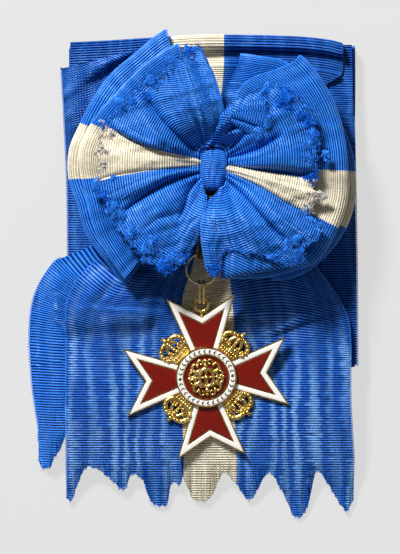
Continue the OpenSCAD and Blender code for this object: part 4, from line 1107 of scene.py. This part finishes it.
def tufts(name, key, places, seed, per_area=2.6):
    """Tufts of ravelled silk: each a matted lump under a tangle of curled threads."""
    grid, across, along = CLOTH_ENDS[key]
    chance = np.random.default_rng(seed)
    ground = grid.reshape(-1, 3)
    lumps = []
    faces = []
    lump_uv = []
    starts = []
    headings = []
    thread_uv = []
    offset = 0
    for column, row, size, deeper in places:
        x, y = from_photo(column, row)
        radius = round(size * PIXEL, 1)
        near = np.hypot(ground[:, 0] - x, ground[:, 1] - y).argmin()
        beyond = np.hypot(ground[near, 0] - x, ground[near, 1] - y)
        z = ground[near, 2] + 0.35 - 0.4 * min(beyond, 3)
        here_across = across.reshape(-1)[near] + DEEPER * deeper
        here_along = along.reshape(-1)[near]
        rings = max(int(radius / 0.42), 4)
        spokes = max(int(TURN * radius * 0.62 / 0.42), 12)
        out, turn = np.meshgrid(np.linspace(0.08, 1, rings), np.linspace(0, TURN, spokes, endpoint=False))
        ragged = 1
        for lobes, deep in ((2, 0.28), (3, 0.2), (5, 0.15)):
            ragged = ragged + deep * np.sin(lobes * turn + chance.uniform(0, 6))
        reach = radius * 0.92 * out * ragged
        bumpy = 0.65 * chance.random(out.shape)
        bumpy = bumpy + 0.5 * np.sin(3.1 * out * np.cos(turn) * 2 + chance.uniform(0, 6))
        height = 0.26 * radius * np.sqrt(np.clip(1 - out ** 2, 0, 1)) * (0.65 + 0.6 * bumpy)
        px = x + reach * np.cos(turn) + chance.normal(0, 0.1, out.shape)
        py = y + reach * np.sin(turn) + chance.normal(0, 0.1, out.shape)
        dome = np.stack([px, py, z + height], axis=-1)
        n = offset + np.arange(spokes * rings).reshape(spokes, rings)
        around = np.roll(n, -1, axis=0)
        faces.append(np.stack([n[:, :-1], n[:, 1:], around[:, 1:], around[:, :-1]], axis=-1).reshape(-1, 4))
        lumps.append(dome.reshape(-1, 3))
        jitter = chance.random((spokes * rings, 2)) * [0.4, 3.0]
        lump_uv.append(jitter + [here_across, here_along])
        offset += spokes * rings
        count = int(math.pi * radius ** 2 * per_area)
        pick = chance.integers(0, spokes * rings, count)
        starts.append(dome.reshape(-1, 3)[pick] + np.array([0, 0, 0.05]))
        headings.append(chance.uniform(0, TURN, count))
        thread_along = here_along + 40 * chance.random(count)
        thread_uv.append(np.column_stack([np.full(count, here_across), thread_along]))
    piece_from(name + "_lumps", np.concatenate(lumps), [np.concatenate(faces)], ravelled,
        np.concatenate(lump_uv), sharp=180)
    here = np.concatenate(starts)
    heading = np.concatenate(headings)
    uv = np.concatenate(thread_uv)
    count = len(here)
    links = 6
    long = 1.3 + 1.9 * chance.random(count)
    curl = chance.normal(0, 3.6, count)
    paths = np.zeros((count, links, 3))
    climb = chance.uniform(0.1, 0.7, count)
    for k in range(links):
        paths[:, k] = here
        way = np.stack([np.cos(heading), np.sin(heading), climb - 0.28 * k], axis=-1)
        here = here + way * (long / links)[:, None]
        heading = heading + curl / links + chance.normal(0, 0.5, count)
    return strands(name + "_threads", paths, 0.1, uv[:, 0], uv[:, 1], ravelled)


def fray(name, key, per_mm, reach, lift, clump, inward, seed, until=1.0, thick=0.1, links=6):
    """Ravelled silk along a torn edge: clumps of curled threads that lie over it."""
    chance = np.random.default_rng(seed)
    total = run_lengths(CLOTH_ENDS[key][0][-1])[-1]
    count = int(total * per_mm)
    at = chance.uniform(0, total * until, count)
    root, o, r, n, across, along = along_edge(key, at)
    # How full the clumps are along the edge
    bunch = np.clip(0.45 + 0.8 * waver(at, clump, seed + 4), 0.06, 1.2)
    back = inward * (chance.random(count) * 1.5 - 0.5) * bunch
    heap = lift * bunch * chance.random(count) * (1 - 0.5 * np.abs(back) / inward)
    long = reach * (0.4 + 0.8 * chance.random(count)) * (0.4 + 0.6 * bunch)
    heading = chance.uniform(0, TURN, count)
    curl = chance.normal(0, 3.2, count)
    start = root - o * back[:, None] + r * chance.normal(0, 0.5, count)[:, None]
    start = start + n * (0.45 + heap)[:, None]
    paths = np.zeros((count, links, 3))
    here = start
    for k in range(links):
        paths[:, k] = here
        way = np.cos(heading)[:, None] * o + np.sin(heading)[:, None] * r
        bend = 0.35 * np.sin(1.1 * k + 6 * heap)[:, None]
        here = here + (way + n * bend) * (long / links)[:, None]
        heading = heading + curl / links + chance.normal(0, 0.45, count)
    return strands(name, paths, thick, across, along + 40 * chance.random(count), ravelled)


def selvedge(name, key, column, start, end, material):
    """Edge of the ribbon, where each weft thread turns back in a small loop, one to a rib."""
    grid, across, along = CLOTH_ENDS[key]
    line = grid[:, column]
    inner = grid[:, 3 if column == 0 else -4]
    marks = along[:, column]
    wanted = np.arange(np.ceil(start / RIB) * RIB, end, RIB)
    points = np.column_stack([np.interp(wanted, marks, line[:, c]) for c in range(3)])
    inside = np.column_stack([np.interp(wanted, marks, inner[:, c]) for c in range(3)])
    out = unit(points - inside)
    run = unit(np.gradient(points, axis=0))
    links = 7
    turn = np.linspace(-0.5, 0.5, links) * math.pi
    paths = (points[:, None] + run[:, None] * (np.sin(turn) * RIB * 0.36)[None, :, None]
        + out[:, None] * (np.cos(turn) * 0.62 - 0.1)[None, :, None]
        + np.array([0, 0, 1.0]) * 0.15)
    u = np.full(len(points), across[0, column])
    return strands(name, paths, 0.24, u, wanted, material)


# The cross
CROSS_PLACE = (Matrix.Translation((4.8, -37.8, 12.6)) @ Matrix.Rotation(math.radians(4), 4, "Z")
    @ Matrix.Rotation(math.radians(8), 4, "X"))
ARM_TIP = 30.1
ARM_SPREAD = 12.7
ARM_NOTCH = 22.6
ARM_ROOT = 1.8
EDGE_W = 0.35
WHITE_W = 2.1
LINE_W = 0.25
PLATE_T = 1.5
CELL_D = 0.6
MEDAL_R = 11.2
FIELD_R = 8.2
MEDAL_H = 1.7
SEAT_Z = PLATE_T / 2 - CELL_D + 0.05
CLEAR = 0.05


def on_tail(points, turn=0.0):
    """Points of the cross, turned about its middle, in the place where the cross lies."""
    m = np.array(CROSS_PLACE @ Matrix.Rotation(math.radians(turn), 4, "Z"))
    return np.asarray(points) @ m[:3, :3].T + m[:3, 3]


def inset(outline, d):
    """Outline moved inwards by d."""
    p = np.array(outline, float)
    count = len(p)
    moved = []
    for i in range(count):
        before = unit(p[i] - p[i - 1])
        after = unit(p[(i + 1) % count] - p[i])
        a = np.array([before[1], -before[0]])
        b = np.array([after[1], -after[0]])
        moved.append(p[i] + d * (a + b) / (1 + a @ b))
    return np.array(moved)


ARM_OUTLINE = [[-ARM_ROOT, 0], [-ARM_SPREAD, ARM_TIP], [0, ARM_NOTCH], [ARM_SPREAD, ARM_TIP], [ARM_ROOT, 0]]


def arm_line(d, seat, per_side=10):
    """Outline of an arm moved in by d, from the medallion's seat round the two points and back."""
    p = inset(ARM_OUTLINE, d)
    line = []
    for a, b, first in ((p[0], p[1], True), (p[1], p[2], False), (p[2], p[3], False), (p[4], p[3], True)):
        if first:
            step = b - a
            half = a @ step / (step @ step)
            root = math.sqrt(half * half - (a @ a - seat * seat) / (step @ step))
            a = a + step * (-half + root)
        run = [mix(a, b, t) for t in np.linspace(0, 1, per_side)]
        line.append(run if len(line) < 3 else run[::-1])
    return np.array(line[0][:-1] + line[1][:-1] + line[2][:-1] + line[3])


def arm_rings(rings):
    """Points of an arm's outline at each inset and height, their numbers, and the quads between."""
    lines = [arm_line(d, MEDAL_R + 0.15) for d, _ in rings]
    points = [np.column_stack([line, np.full(len(line), z)]) for line, (_, z) in zip(lines, rings)]
    points = np.concatenate(points)
    number = np.arange(len(points)).reshape(len(rings), -1)
    return points, number, [grid_faces(number[i], number[i + 1]) for i in range(len(rings) - 1)]


def domed_band(name, turn, node):
    """White enamel of an arm: a band as wide everywhere, its top gently crowned by the firing."""
    outer = EDGE_W + CLEAR
    inner = EDGE_W + WHITE_W - LINE_W - CLEAR
    shoulder = PLATE_T / 2 - 0.1
    crown = 0.22
    rings = [(outer, SEAT_Z), (outer, shoulder)]
    for t in np.linspace(0.06, 0.94, 9):
        rings.append((mix(outer, inner, t), shoulder + crown * math.sqrt(1 - (2 * t - 1) ** 4)))
    rings += [(inner, shoulder), (inner, SEAT_Z)]
    points, number, quads = arm_rings(rings)
    quads.append(grid_faces(number[-1], number[0]))
    ends = np.array([number[:, 0][::-1], number[:, -1]])
    band = piece_from(name, on_tail(points, turn), [np.concatenate(quads), ends], white_enamel,
        sharp=35)
    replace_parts(band, node)
    return band


def sunk_panel(name, turn, node):
    """Red enamel of an arm, level with a soft rim, over an engraved ground."""
    start = EDGE_W + WHITE_W + CLEAR
    points, number, quads = arm_rings([(start, SEAT_Z), (start, PLATE_T / 2 - 0.16),
        (start + 0.08, PLATE_T / 2 - 0.08), (start + 0.25, PLATE_T / 2 - 0.03), (start + 0.7, PLATE_T / 2)])
    sides = []
    for i in range(len(number) - 1):
        sides.append([number[i, -1], number[i, 0], number[i + 1, 0], number[i + 1, -1]])
    panel = piece_from(name, on_tail(points, turn), [np.concatenate(quads + [np.array(sides)]),
        number[-1:], number[:1, ::-1]], red_enamel, points[:, :2], sharp=35)
    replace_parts(panel, node)
    return panel


def lathe(profile, sides=96):
    """Ring or disc turned from a closed profile of (radius, height)."""
    turn = np.linspace(0, TURN, sides, endpoint=False)
    r = np.array(profile)[:, 0]
    z = np.array(profile)[:, 1]
    points = np.stack([r[None, :] * np.cos(turn)[:, None], r[None, :] * np.sin(turn)[:, None],
        np.repeat(z[None, :], sides, axis=0)], axis=-1)
    number = np.arange(sides * len(profile)).reshape(sides, len(profile))
    quads = []
    for i in range(len(profile)):
        n = (i + 1) % len(profile)
        nxt = np.roll(number, -1, axis=0)
        quads.append(np.stack([number[:, i], nxt[:, i], nxt[:, n], number[:, n]], axis=-1))
    return points.reshape(-1, 3), np.concatenate(quads)


class Castings:
    """Gathers wires and beads into one mesh."""

    def __init__(self):
        self.points = []
        self.quads = []
        self.count = 0

    def take(self, points, quads):
        self.points.append(points)
        self.quads.append(np.asarray(quads) + self.count)
        self.count += len(points)

    def wire(self, path, radii, sides=8, closed=False):
        path = np.array(path, float)
        radii = np.broadcast_to(np.asarray(radii, float), (len(path),))
        if closed:
            run = unit(np.roll(path, -1, axis=0) - np.roll(path, 1, axis=0))
        else:
            run = unit(np.gradient(path, axis=0))
        lean = np.array([0, 0, 1.0]) if abs(run[:, 2]).max() < 0.9 else np.array([1.0, 0.1, 0])
        side = unit(np.cross(run, lean))
        top = np.cross(side, run)
        turn = np.linspace(0, TURN, sides, endpoint=False)
        ring = (path[:, None] + radii[:, None, None] * (side[:, None] * np.cos(turn)[None, :, None]
            + top[:, None] * np.sin(turn)[None, :, None]))
        number = np.arange(len(path) * sides).reshape(len(path), sides)
        pairs = [(i, i + 1) for i in range(len(path) - 1)]
        if closed:
            pairs.append((len(path) - 1, 0))
        quads = []
        for a, b in pairs:
            n = np.roll(number[a], -1)
            m = np.roll(number[b], -1)
            quads.append(np.stack([number[a], n, m, number[b]], axis=1))
        quads = np.concatenate(quads)
        if not closed:
            for row, flip in ((0, 1), (-1, -1)):
                cap = number[row][::flip]
                half = sides // 2
                caps = [[cap[k], cap[sides - 1 - k], cap[sides - 2 - k], cap[k + 1]] for k in range(half - 1)]
                quads = np.concatenate([quads, np.array(caps)])
        self.take(ring.reshape(-1, 3), quads)

    def bead(self, centre, radius, sides=12, rings=7):
        a = np.linspace(0.12, math.pi - 0.12, rings)
        turn = np.linspace(0, TURN, sides, endpoint=False)
        ball = np.stack([np.sin(a)[:, None] * np.cos(turn), np.sin(a)[:, None] * np.sin(turn),
            np.repeat(np.cos(a)[:, None], sides, axis=1)], axis=-1) * radius
        number = np.arange(rings * sides).reshape(rings, sides)
        after = np.roll(number, -1, axis=1)
        quads = [np.stack([number[i], number[i + 1], after[i + 1], after[i]], axis=1)
            for i in range(rings - 1)]
        half = sides // 2
        for row, flip in ((0, 1), (-1, -1)):
            cap = number[row][::flip]
            quads.append(np.array([[cap[k], cap[k + 1], cap[sides - 2 - k], cap[sides - 1 - k]]
                for k in range(half - 1)]))
        self.take((ball + np.array(centre)).reshape(-1, 3), np.concatenate(quads))

    def cast(self, name, material, turns=(0,)):
        points = np.concatenate(self.points)
        quads = np.concatenate(self.quads)
        all_points = np.concatenate([on_tail(points, t) for t in turns])
        all_quads = np.concatenate([quads + k * len(points) for k in range(len(turns))])
        return piece_from(name, all_points, [all_quads], material, sharp=50)


def cast_crowns():
    """Four arched crowns between the arms: a rim with two rows of pearls, leaves that stand on it, and
    three arches with pearls that meet under an orb and a small cross."""
    crown = Castings()
    z = 0.35
    for side in (-1, 1):
        arch = [[4.1, 13.6], [4.8, 14.8], [5.2, 16.2], [4.9, 17.5], [4.0, 18.6], [2.7, 19.3], [1.3, 19.5],
            [0.2, 19.2]]
        arch = np.array([[side * x, y, z] for x, y in arch])
        crown.wire(arch, [0.7, 0.9, 1.0, 1.05, 1.05, 1.0, 0.9, 0.7])
        for k in range(1, 7):
            crown.bead((arch[k, 0], arch[k, 1], z + 0.8), 0.58)
        inner = [[2.2, 14.2], [2.45, 15.4], [2.3, 16.7], [1.7, 17.9], [0.7, 18.8]]
        inner = np.array([[side * x, y, z] for x, y in inner])
        crown.wire(inner, [0.75, 0.7, 0.7, 0.75, 0.7])
        crown.bead((side * 2.45, 16.0, z + 0.6), 0.45)
        crown.wire([[side * 3.4, 14.0, z], [side * 4.0, 15.0, z + 0.1], [side * 3.6, 16.0, z + 0.1]],
            [0.8, 0.7, 0.4])
        for x, y, r in ((4.35, 14.2, 0.62), (1.55, 14.6, 0.6), (1.55, 15.4, 0.4), (3.1, 12.9, 0.52),
                (2.05, 12.85, 0.52), (1.0, 12.8, 0.52), (3.0, 11.8, 0.42), (2.0, 11.75, 0.42),
                (1.0, 11.7, 0.42)):
            crown.bead((side * x, y, z + 0.55), r)
    for y, half, radius in ((11.4, 3.6, 0.62), (12.3, 3.9, 0.6), (13.2, 4.2, 0.6), (14.1, 4.4, 0.62)):
        crown.wire([[x, y + 0.35 * (x / half) ** 2, z + 0.2] for x in np.linspace(-half, half, 14)], radius)
    crown.wire([[0, y, z + 0.15] for y in np.linspace(13.4, 19.4, 8)],
        [0.9, 0.8, 0.75, 0.75, 0.8, 0.85, 0.85, 0.7])
    for y, r in ((12.8, 0.52), (11.7, 0.42), (14.4, 0.75), (15.7, 0.5), (16.8, 0.55), (17.9, 0.55),
            (18.9, 0.5)):
        crown.bead((0, y, z + 0.65), r)
    crown.bead((0, 20.2, 0.65), 1.0)
    crown.wire([[0, y, 0.7] for y in np.linspace(20.8, 21.9, 4)], 0.32)
    crown.wire([[x, 21.45, 0.7] for x in np.linspace(-0.7, 0.7, 4)], 0.3)
    return crown.cast("crowns", cast_gilt, (45, 135, 225, 315))


def cast_ornament():
    """Raised scrolls on the red field: volutes in three sizes round an upright oval."""
    work = Castings()
    z = SEAT_Z + 0.6 + 0.5 + 2 * CLEAR + 0.5
    oval = np.array([[2.6 * math.cos(t), 3.3 * math.sin(t), z + 0.15] for t in np.linspace(0, TURN, 48)])
    work.wire(oval[:-1], 0.58, closed=True)
    for up in (-1, 1):
        for side in (-1, 1):
            turned = np.array([side, up, 1])
            for cx, cy, big, small, first, last, thick in (
                    (3.6, 4.1, 2.0, 0.75, 200, 500, 0.72), (5.3, 1.5, 1.45, 0.6, 150, 430, 0.6),
                    (1.7, 5.6, 1.2, 0.5, 330, 620, 0.5)):
                angle = np.radians(np.linspace(first, last, 26))
                radius = np.linspace(big, small, 26)
                volute = np.column_stack([cx + radius * np.cos(angle), cy + radius * np.sin(angle),
                    np.full(26, z)])
                work.wire(volute * turned, np.linspace(thick, thick * 0.55, 26))
                work.bead(volute[-1] * turned, thick * 0.95)
            leaf = np.array([[2.4, 1.2, z], [3.4, 2.2, z + 0.2], [4.6, 2.6, z + 0.1], [5.6, 3.2, z]])
            work.wire(leaf * turned, [0.6, 0.75, 0.6, 0.3])
        work.bead((0, up * 6.3, z + 0.2), 0.7)
        work.bead((0, up * 4.6, z + 0.35), 0.85)
        work.wire([[0, up * y, z + 0.1] for y in np.linspace(0.6, 6.0, 8)],
            [0.5, 0.6, 0.65, 0.55, 0.5, 0.55, 0.5, 0.4])
        work.bead((up * 6.3, 0, z + 0.1), 0.6)
        work.bead((up * 4.0, 0, z + 0.2), 0.75)
        work.wire([[up * x, 0, z] for x in np.linspace(0.6, 3.8, 5)], 0.42)
    work.bead((0, 0, z + 0.45), 1.15)
    ornament = work.cast("medallion_scrolls", cast_gilt)
    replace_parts(ornament, "medallion_ornament")
    return ornament


def ring_marks():
    """Small leaves and stars in dull gold on the white ring."""
    marks = Castings()
    z = SEAT_Z + MEDAL_H - 0.05
    middle = (MEDAL_R - 0.4 + FIELD_R + 0.4) / 2
    for k in range(32):
        turn = TURN * k / 32
        if k in (0, 16):
            for spoke in range(4):
                a = spoke * math.pi / 4
                ends = [-0.75, -0.3, 0.3, 0.75]
                path = [[middle * math.cos(turn) + e * math.cos(a),
                    middle * math.sin(turn) + e * math.sin(a), z] for e in ends]
                marks.wire(path, [0.05, 0.16, 0.16, 0.05], sides=6)
            continue
        lean = 0.75 if turn < math.pi else -0.75
        for side in (-1, 1):
            direction = turn + math.pi / 2 + side * lean
            cx = (middle + side * 0.36) * math.cos(turn)
            cy = (middle + side * 0.36) * math.sin(turn)
            path = [[cx + e * math.cos(direction), cy + e * math.sin(direction), z]
                for e in (-0.62, -0.2, 0.2, 0.62)]
            marks.wire(path, [0.05, 0.22, 0.2, 0.05], sides=6)
    return marks.cast("ring_leaves", worn_gold)


def fill_ring():
    """White enamel of the medallion's ring, gently crowned by the firing."""
    inner = FIELD_R + 0.4 + CLEAR
    outer = MEDAL_R - 0.4 - CLEAR
    low = SEAT_Z + 0.9 + CLEAR
    shoulder = SEAT_Z + MEDAL_H - 0.2
    profile = [(inner, low), (outer, low), (outer, shoulder)]
    profile += [(mix(outer, inner, t), shoulder + 0.16 * math.sqrt(1 - (2 * t - 1) ** 4))
        for t in np.linspace(0.05, 0.95, 8)]
    points, quads = lathe(profile + [(inner, shoulder)])
    ring = piece_from("white_ring", on_tail(points), [quads], white_enamel)
    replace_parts(ring, "medallion_ring_enamel")
    return ring


def fill_field():
    """Red enamel of the medallion's field, its edge a little rounded."""
    low = SEAT_Z + 0.6 + CLEAR
    outer = FIELD_R - CLEAR
    profile = [(0.02, low), (outer, low), (outer, low + 0.42), (FIELD_R - 0.2, low + 0.5)]
    profile += [(r, low + 0.5) for r in np.linspace(FIELD_R - 0.6, 0.02, 12)]
    points, quads = lathe(profile)
    field = piece_from("red_field", on_tail(points), [quads], red_enamel, points[:, :2])
    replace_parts(field, "medallion_field_enamel")
    return field


def sew_tape():
    """Small tape loop behind the bow that carries the ring."""
    foot = 2.1 + (6.3 - 0.55) - 2.3
    head = KNOT_Y - (GATHER_H / 2 + 1.4) - RIBBON_T - 0.3
    bend = 1.4
    run = head - foot - 2 * 1.9
    path = [(bend * math.sin(t), bend * math.cos(t)) for t in np.linspace(math.pi, TURN, 20)]
    path += [(y, bend) for y in np.linspace(0.5, run - 0.5, 60)]
    path += [(run + bend * math.sin(t), bend * math.cos(t)) for t in np.linspace(0, math.pi, 20)]
    path += [(y, -bend) for y in np.linspace(run - 0.5, 0.5, 60)]
    path = np.array(path + path[:1])
    w = np.linspace(-1.5, 1.5, 9)
    local_x = np.repeat(w[None, :], len(path), axis=0)
    local_y = np.repeat(path[:, :1], len(w), axis=1)
    lean = math.radians(-7)
    grid = np.stack([3.2 + local_x * math.cos(lean) - local_y * math.sin(lean),
        foot + 1.9 + local_x * math.sin(lean) + local_y * math.cos(lean),
        15.25 + np.repeat(path[:, 1:], len(w), axis=1)], axis=-1)
    uu, vv = np.meshgrid(w + 1.5, run_lengths(path))
    loop = cloth("tape_loop", grid, uu, vv, tape, "tape", up=slice(25, 70), ribs=0.0, back_step=1)
    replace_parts(loop, "hanging_loop")
    return loop


# Making everything
bpy.ops.mesh.primitive_plane_add(size=3, location=(0, 0, 0))
floor = bpy.context.object
floor.name = "floor"
floor.data.materials.append(paper_material())

sash = fold_pack()
ply_two = lay_second_ply()
roll_top_ply()
tail_u = np.linspace(0, 1, 253)
rear_u = np.concatenate([np.linspace(0, 0.3, 91), np.linspace(0.3, 1, 22)[1:]])
rear_tail = hang_tail("rear_tail_cloth", "rear_tail", REAR_TAIL_ROWS, REAR_TAIL_END, REAR_TAIL_Z, 0.6,
    rear_u, 3, 20, 41, 0.0, bow_silk, REAR_TAIL_DIP, REAR_TAIL_FOLDS, REAR_TAIL_STEPS)
front_tail = hang_tail("front_tail_cloth", "front_tail", FRONT_TAIL_ROWS, FRONT_TAIL_END, FRONT_TAIL_Z, 0.75,
    tail_u, 4, 24, 51, 0.4, moire_silk, FRONT_TAIL_DIP, FRONT_TAIL_FOLDS, FRONT_TAIL_STEPS)
loops = []
for name, node, under, side, table, base, spread, dense, seed, cut in (
        ("rear_loop_left", "rear_bow", front_tail, -1, REAR_LEFT, BOW_Z, 0, 10, 61, 0.106),
        ("rear_loop_right", "rear_bow", front_tail, 1, REAR_RIGHT, BOW_Z, 0, 14, 62, 0.102),
        ("front_loop_left", "front_bow", "rear_loop_left", -1, FRONT_LEFT, KNOT_Z, 4.7, 14, 63, 0.096),
        ("front_loop_right", "front_bow", "rear_loop_right", 1, FRONT_RIGHT, KNOT_Z, 4.7, 26, 64, 0.099)):
    loop = sew_loop(name, side, table, base, spread, dense, seed)
    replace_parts(loop, node)
    loops.append(loop)
end_left = spread_end("bow_end_left", -1, END_LEFT, LEFT_LINES, LEFT_TOP, LEFT_CREASES, 71, 0.25)
end_right = spread_end("bow_end_right", 1, END_RIGHT, RIGHT_LINES, RIGHT_TOP, RIGHT_CREASES, 72)
for end, at in ((end_left, loops[2]), (end_right, loops[3])):
    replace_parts(end, "bow_ends")
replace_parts(turn_flap(), "bow_ends")
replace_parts(turn_loop_edge(), "front_bow")
tie_knot()

tufts("tufts_left", "bow_end_left", LEFT_TUFTS, 81)
tufts("tufts_right", "bow_end_right", RIGHT_TUFTS, 82)
fray("fray_end_left", "bow_end_left", 5.5, 2.4, 0.8, 7, 2.6, 81)
fray("fray_end_right", "bow_end_right", 5.5, 2.4, 0.8, 7, 2.6, 82)
fray("fray_flap", "turned_flap", 10, 1.8, 0.6, 6, 1.5, 85)
fray("fray_front_tail", "front_tail_cloth", 6, 1.1, 0.15, 5, 0.4, 83, thick=0.08, links=4)
fray("fray_rear_tail", "rear_tail_cloth", 6, 1.3, 0.15, 5, 0.4, 84, until=0.22, thick=0.08, links=4)
for name, key, column, start, end, silk in (
        ("flap", "turned_flap", 0, 0, 14, bow_silk),
        ("turned_edge", "turned_loop_edge", 0, -1, 8, bow_silk),
        ("turned_edge_inner", "turned_loop_edge", 16, 0, 8, bow_silk),
        ("front_tail_left", "front_tail_cloth", 0, 18, 120, moire_silk),
        ("front_tail_right", "front_tail_cloth", -1, 18, 120, moire_silk),
        ("rear_tail", "rear_tail_cloth", 0, 30, 96, bow_silk),
        ("second_ply_right", "second_ply", -1, 0, 113, packed_silk_darkened),
        ("second_ply_left", "second_ply", 0, 0, 113, packed_silk_darkened),
        ("rolled_ply", "rolled_ply", -1, 8, 60, packed_silk_darkened),
        ("front_loop_right", "front_loop_right", 0, 50, 100, bow_silk),
        ("front_loop_left", "front_loop_left", 0, 50, 100, bow_silk),
        ("rear_loop_left", "rear_loop_left", 0, 50, 100, bow_silk),
        ("end_left", "bow_end_left", 0, 4, 44, bow_silk),
        ("end_left_low", "bow_end_left", -1, 4, 30, bow_silk),
        ("end_right_low", "bow_end_right", -1, 4, 36, bow_silk)):
    selvedge("selvedge_" + name, key, column, start, end, silk)

for turn, arm in ((0, "top"), (90, "left"), (180, "bottom"), (270, "right")):
    domed_band("white_band_" + arm, turn, "white_enamel_" + arm)
    sunk_panel("red_panel_" + arm, turn, "red_enamel_" + arm)
cast_crowns()
cast_ornament()
ring_marks()
fill_ring()
fill_field()
sew_tape()

# The solids that are shown themselves
for node, metal in (("cross_body", cast_gilt), ("medallion", cast_gilt), ("suspension_ring", gilt),
        ("double_link", gilt)):
    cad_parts[node].data.materials.clear()
    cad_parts[node].data.materials.append(metal)

# Light and camera
world = bpy.data.worlds.new("studio")
bpy.context.scene.world = world
world.use_nodes = True
tree = world.node_tree
tree.nodes.clear()
ray = add(tree, "TexCoord").outputs["Generated"]
height = add(tree, "SeparateXYZ", {0: ray}).outputs["Z"]
ramp = add(tree, "ValToRGB", {"Fac": height})
stops = ((0.0, "#70747a"), (0.35, "#b4b8bf"), (0.68, "#ffffff"), (0.84, "#f0f0f0"), (0.95, "#a8aab0"))
for _ in stops[2:]:
    ramp.color_ramp.elements.new(0.5)
for element, (place, shade) in zip(ramp.color_ramp.elements, stops):
    element.position = place
    element.color = linear(shade)
background = add(tree, "Background", {"Color": ramp.outputs[0], "Strength": 0.3})
output = add(tree, "OutputWorld")
tree.links.new(background.outputs[0], output.inputs["Surface"])


def area_light(name, place, target, size, watts):
    data = bpy.data.lights.new(name, "AREA")
    data.shape = "SQUARE"
    data.size = size
    data.energy = watts
    light = bpy.data.objects.new(name, data)
    bpy.context.scene.collection.objects.link(light)
    direction = np.array(target) - np.array(place)
    z_axis = -direction / np.linalg.norm(direction)
    x_axis = np.cross([0.0, 1.0, 0.01], z_axis)
    x_axis = x_axis / np.linalg.norm(x_axis)
    y_axis = np.cross(z_axis, x_axis)
    turned = Matrix(((x_axis[0], y_axis[0], z_axis[0], place[0]), (x_axis[1], y_axis[1], z_axis[1], place[1]),
        (x_axis[2], y_axis[2], z_axis[2], place[2]), (0, 0, 0, 1)))
    light.matrix_world = turned
    return light


# The key light comes from the upper left, in metres and watts
KEY_PLACE = (-0.5, 0.95, 0.85)
KEY_SIZE = 0.22
KEY_POWER = 33
area_light("key_light", KEY_PLACE, (0, 0, 0), KEY_SIZE, KEY_POWER)

# Height of the camera, and how much it sees, along the longer side, at the level of the cloth, in
# metres
CAMERA_UP = 1.6
SEEN_LEVEL = 0.012
SEEN_LENGTH = 0.205
camera_data = bpy.data.cameras.new("camera")
camera = bpy.data.objects.new("camera", camera_data)
bpy.context.scene.collection.objects.link(camera)
camera.location = (0.0025, -0.00093, CAMERA_UP)
camera_data.lens = camera_data.sensor_width * (CAMERA_UP - SEEN_LEVEL) / SEEN_LENGTH
camera_data.clip_end = 20
bpy.context.scene.camera = camera
bpy.context.scene.view_settings.view_transform = "Standard"
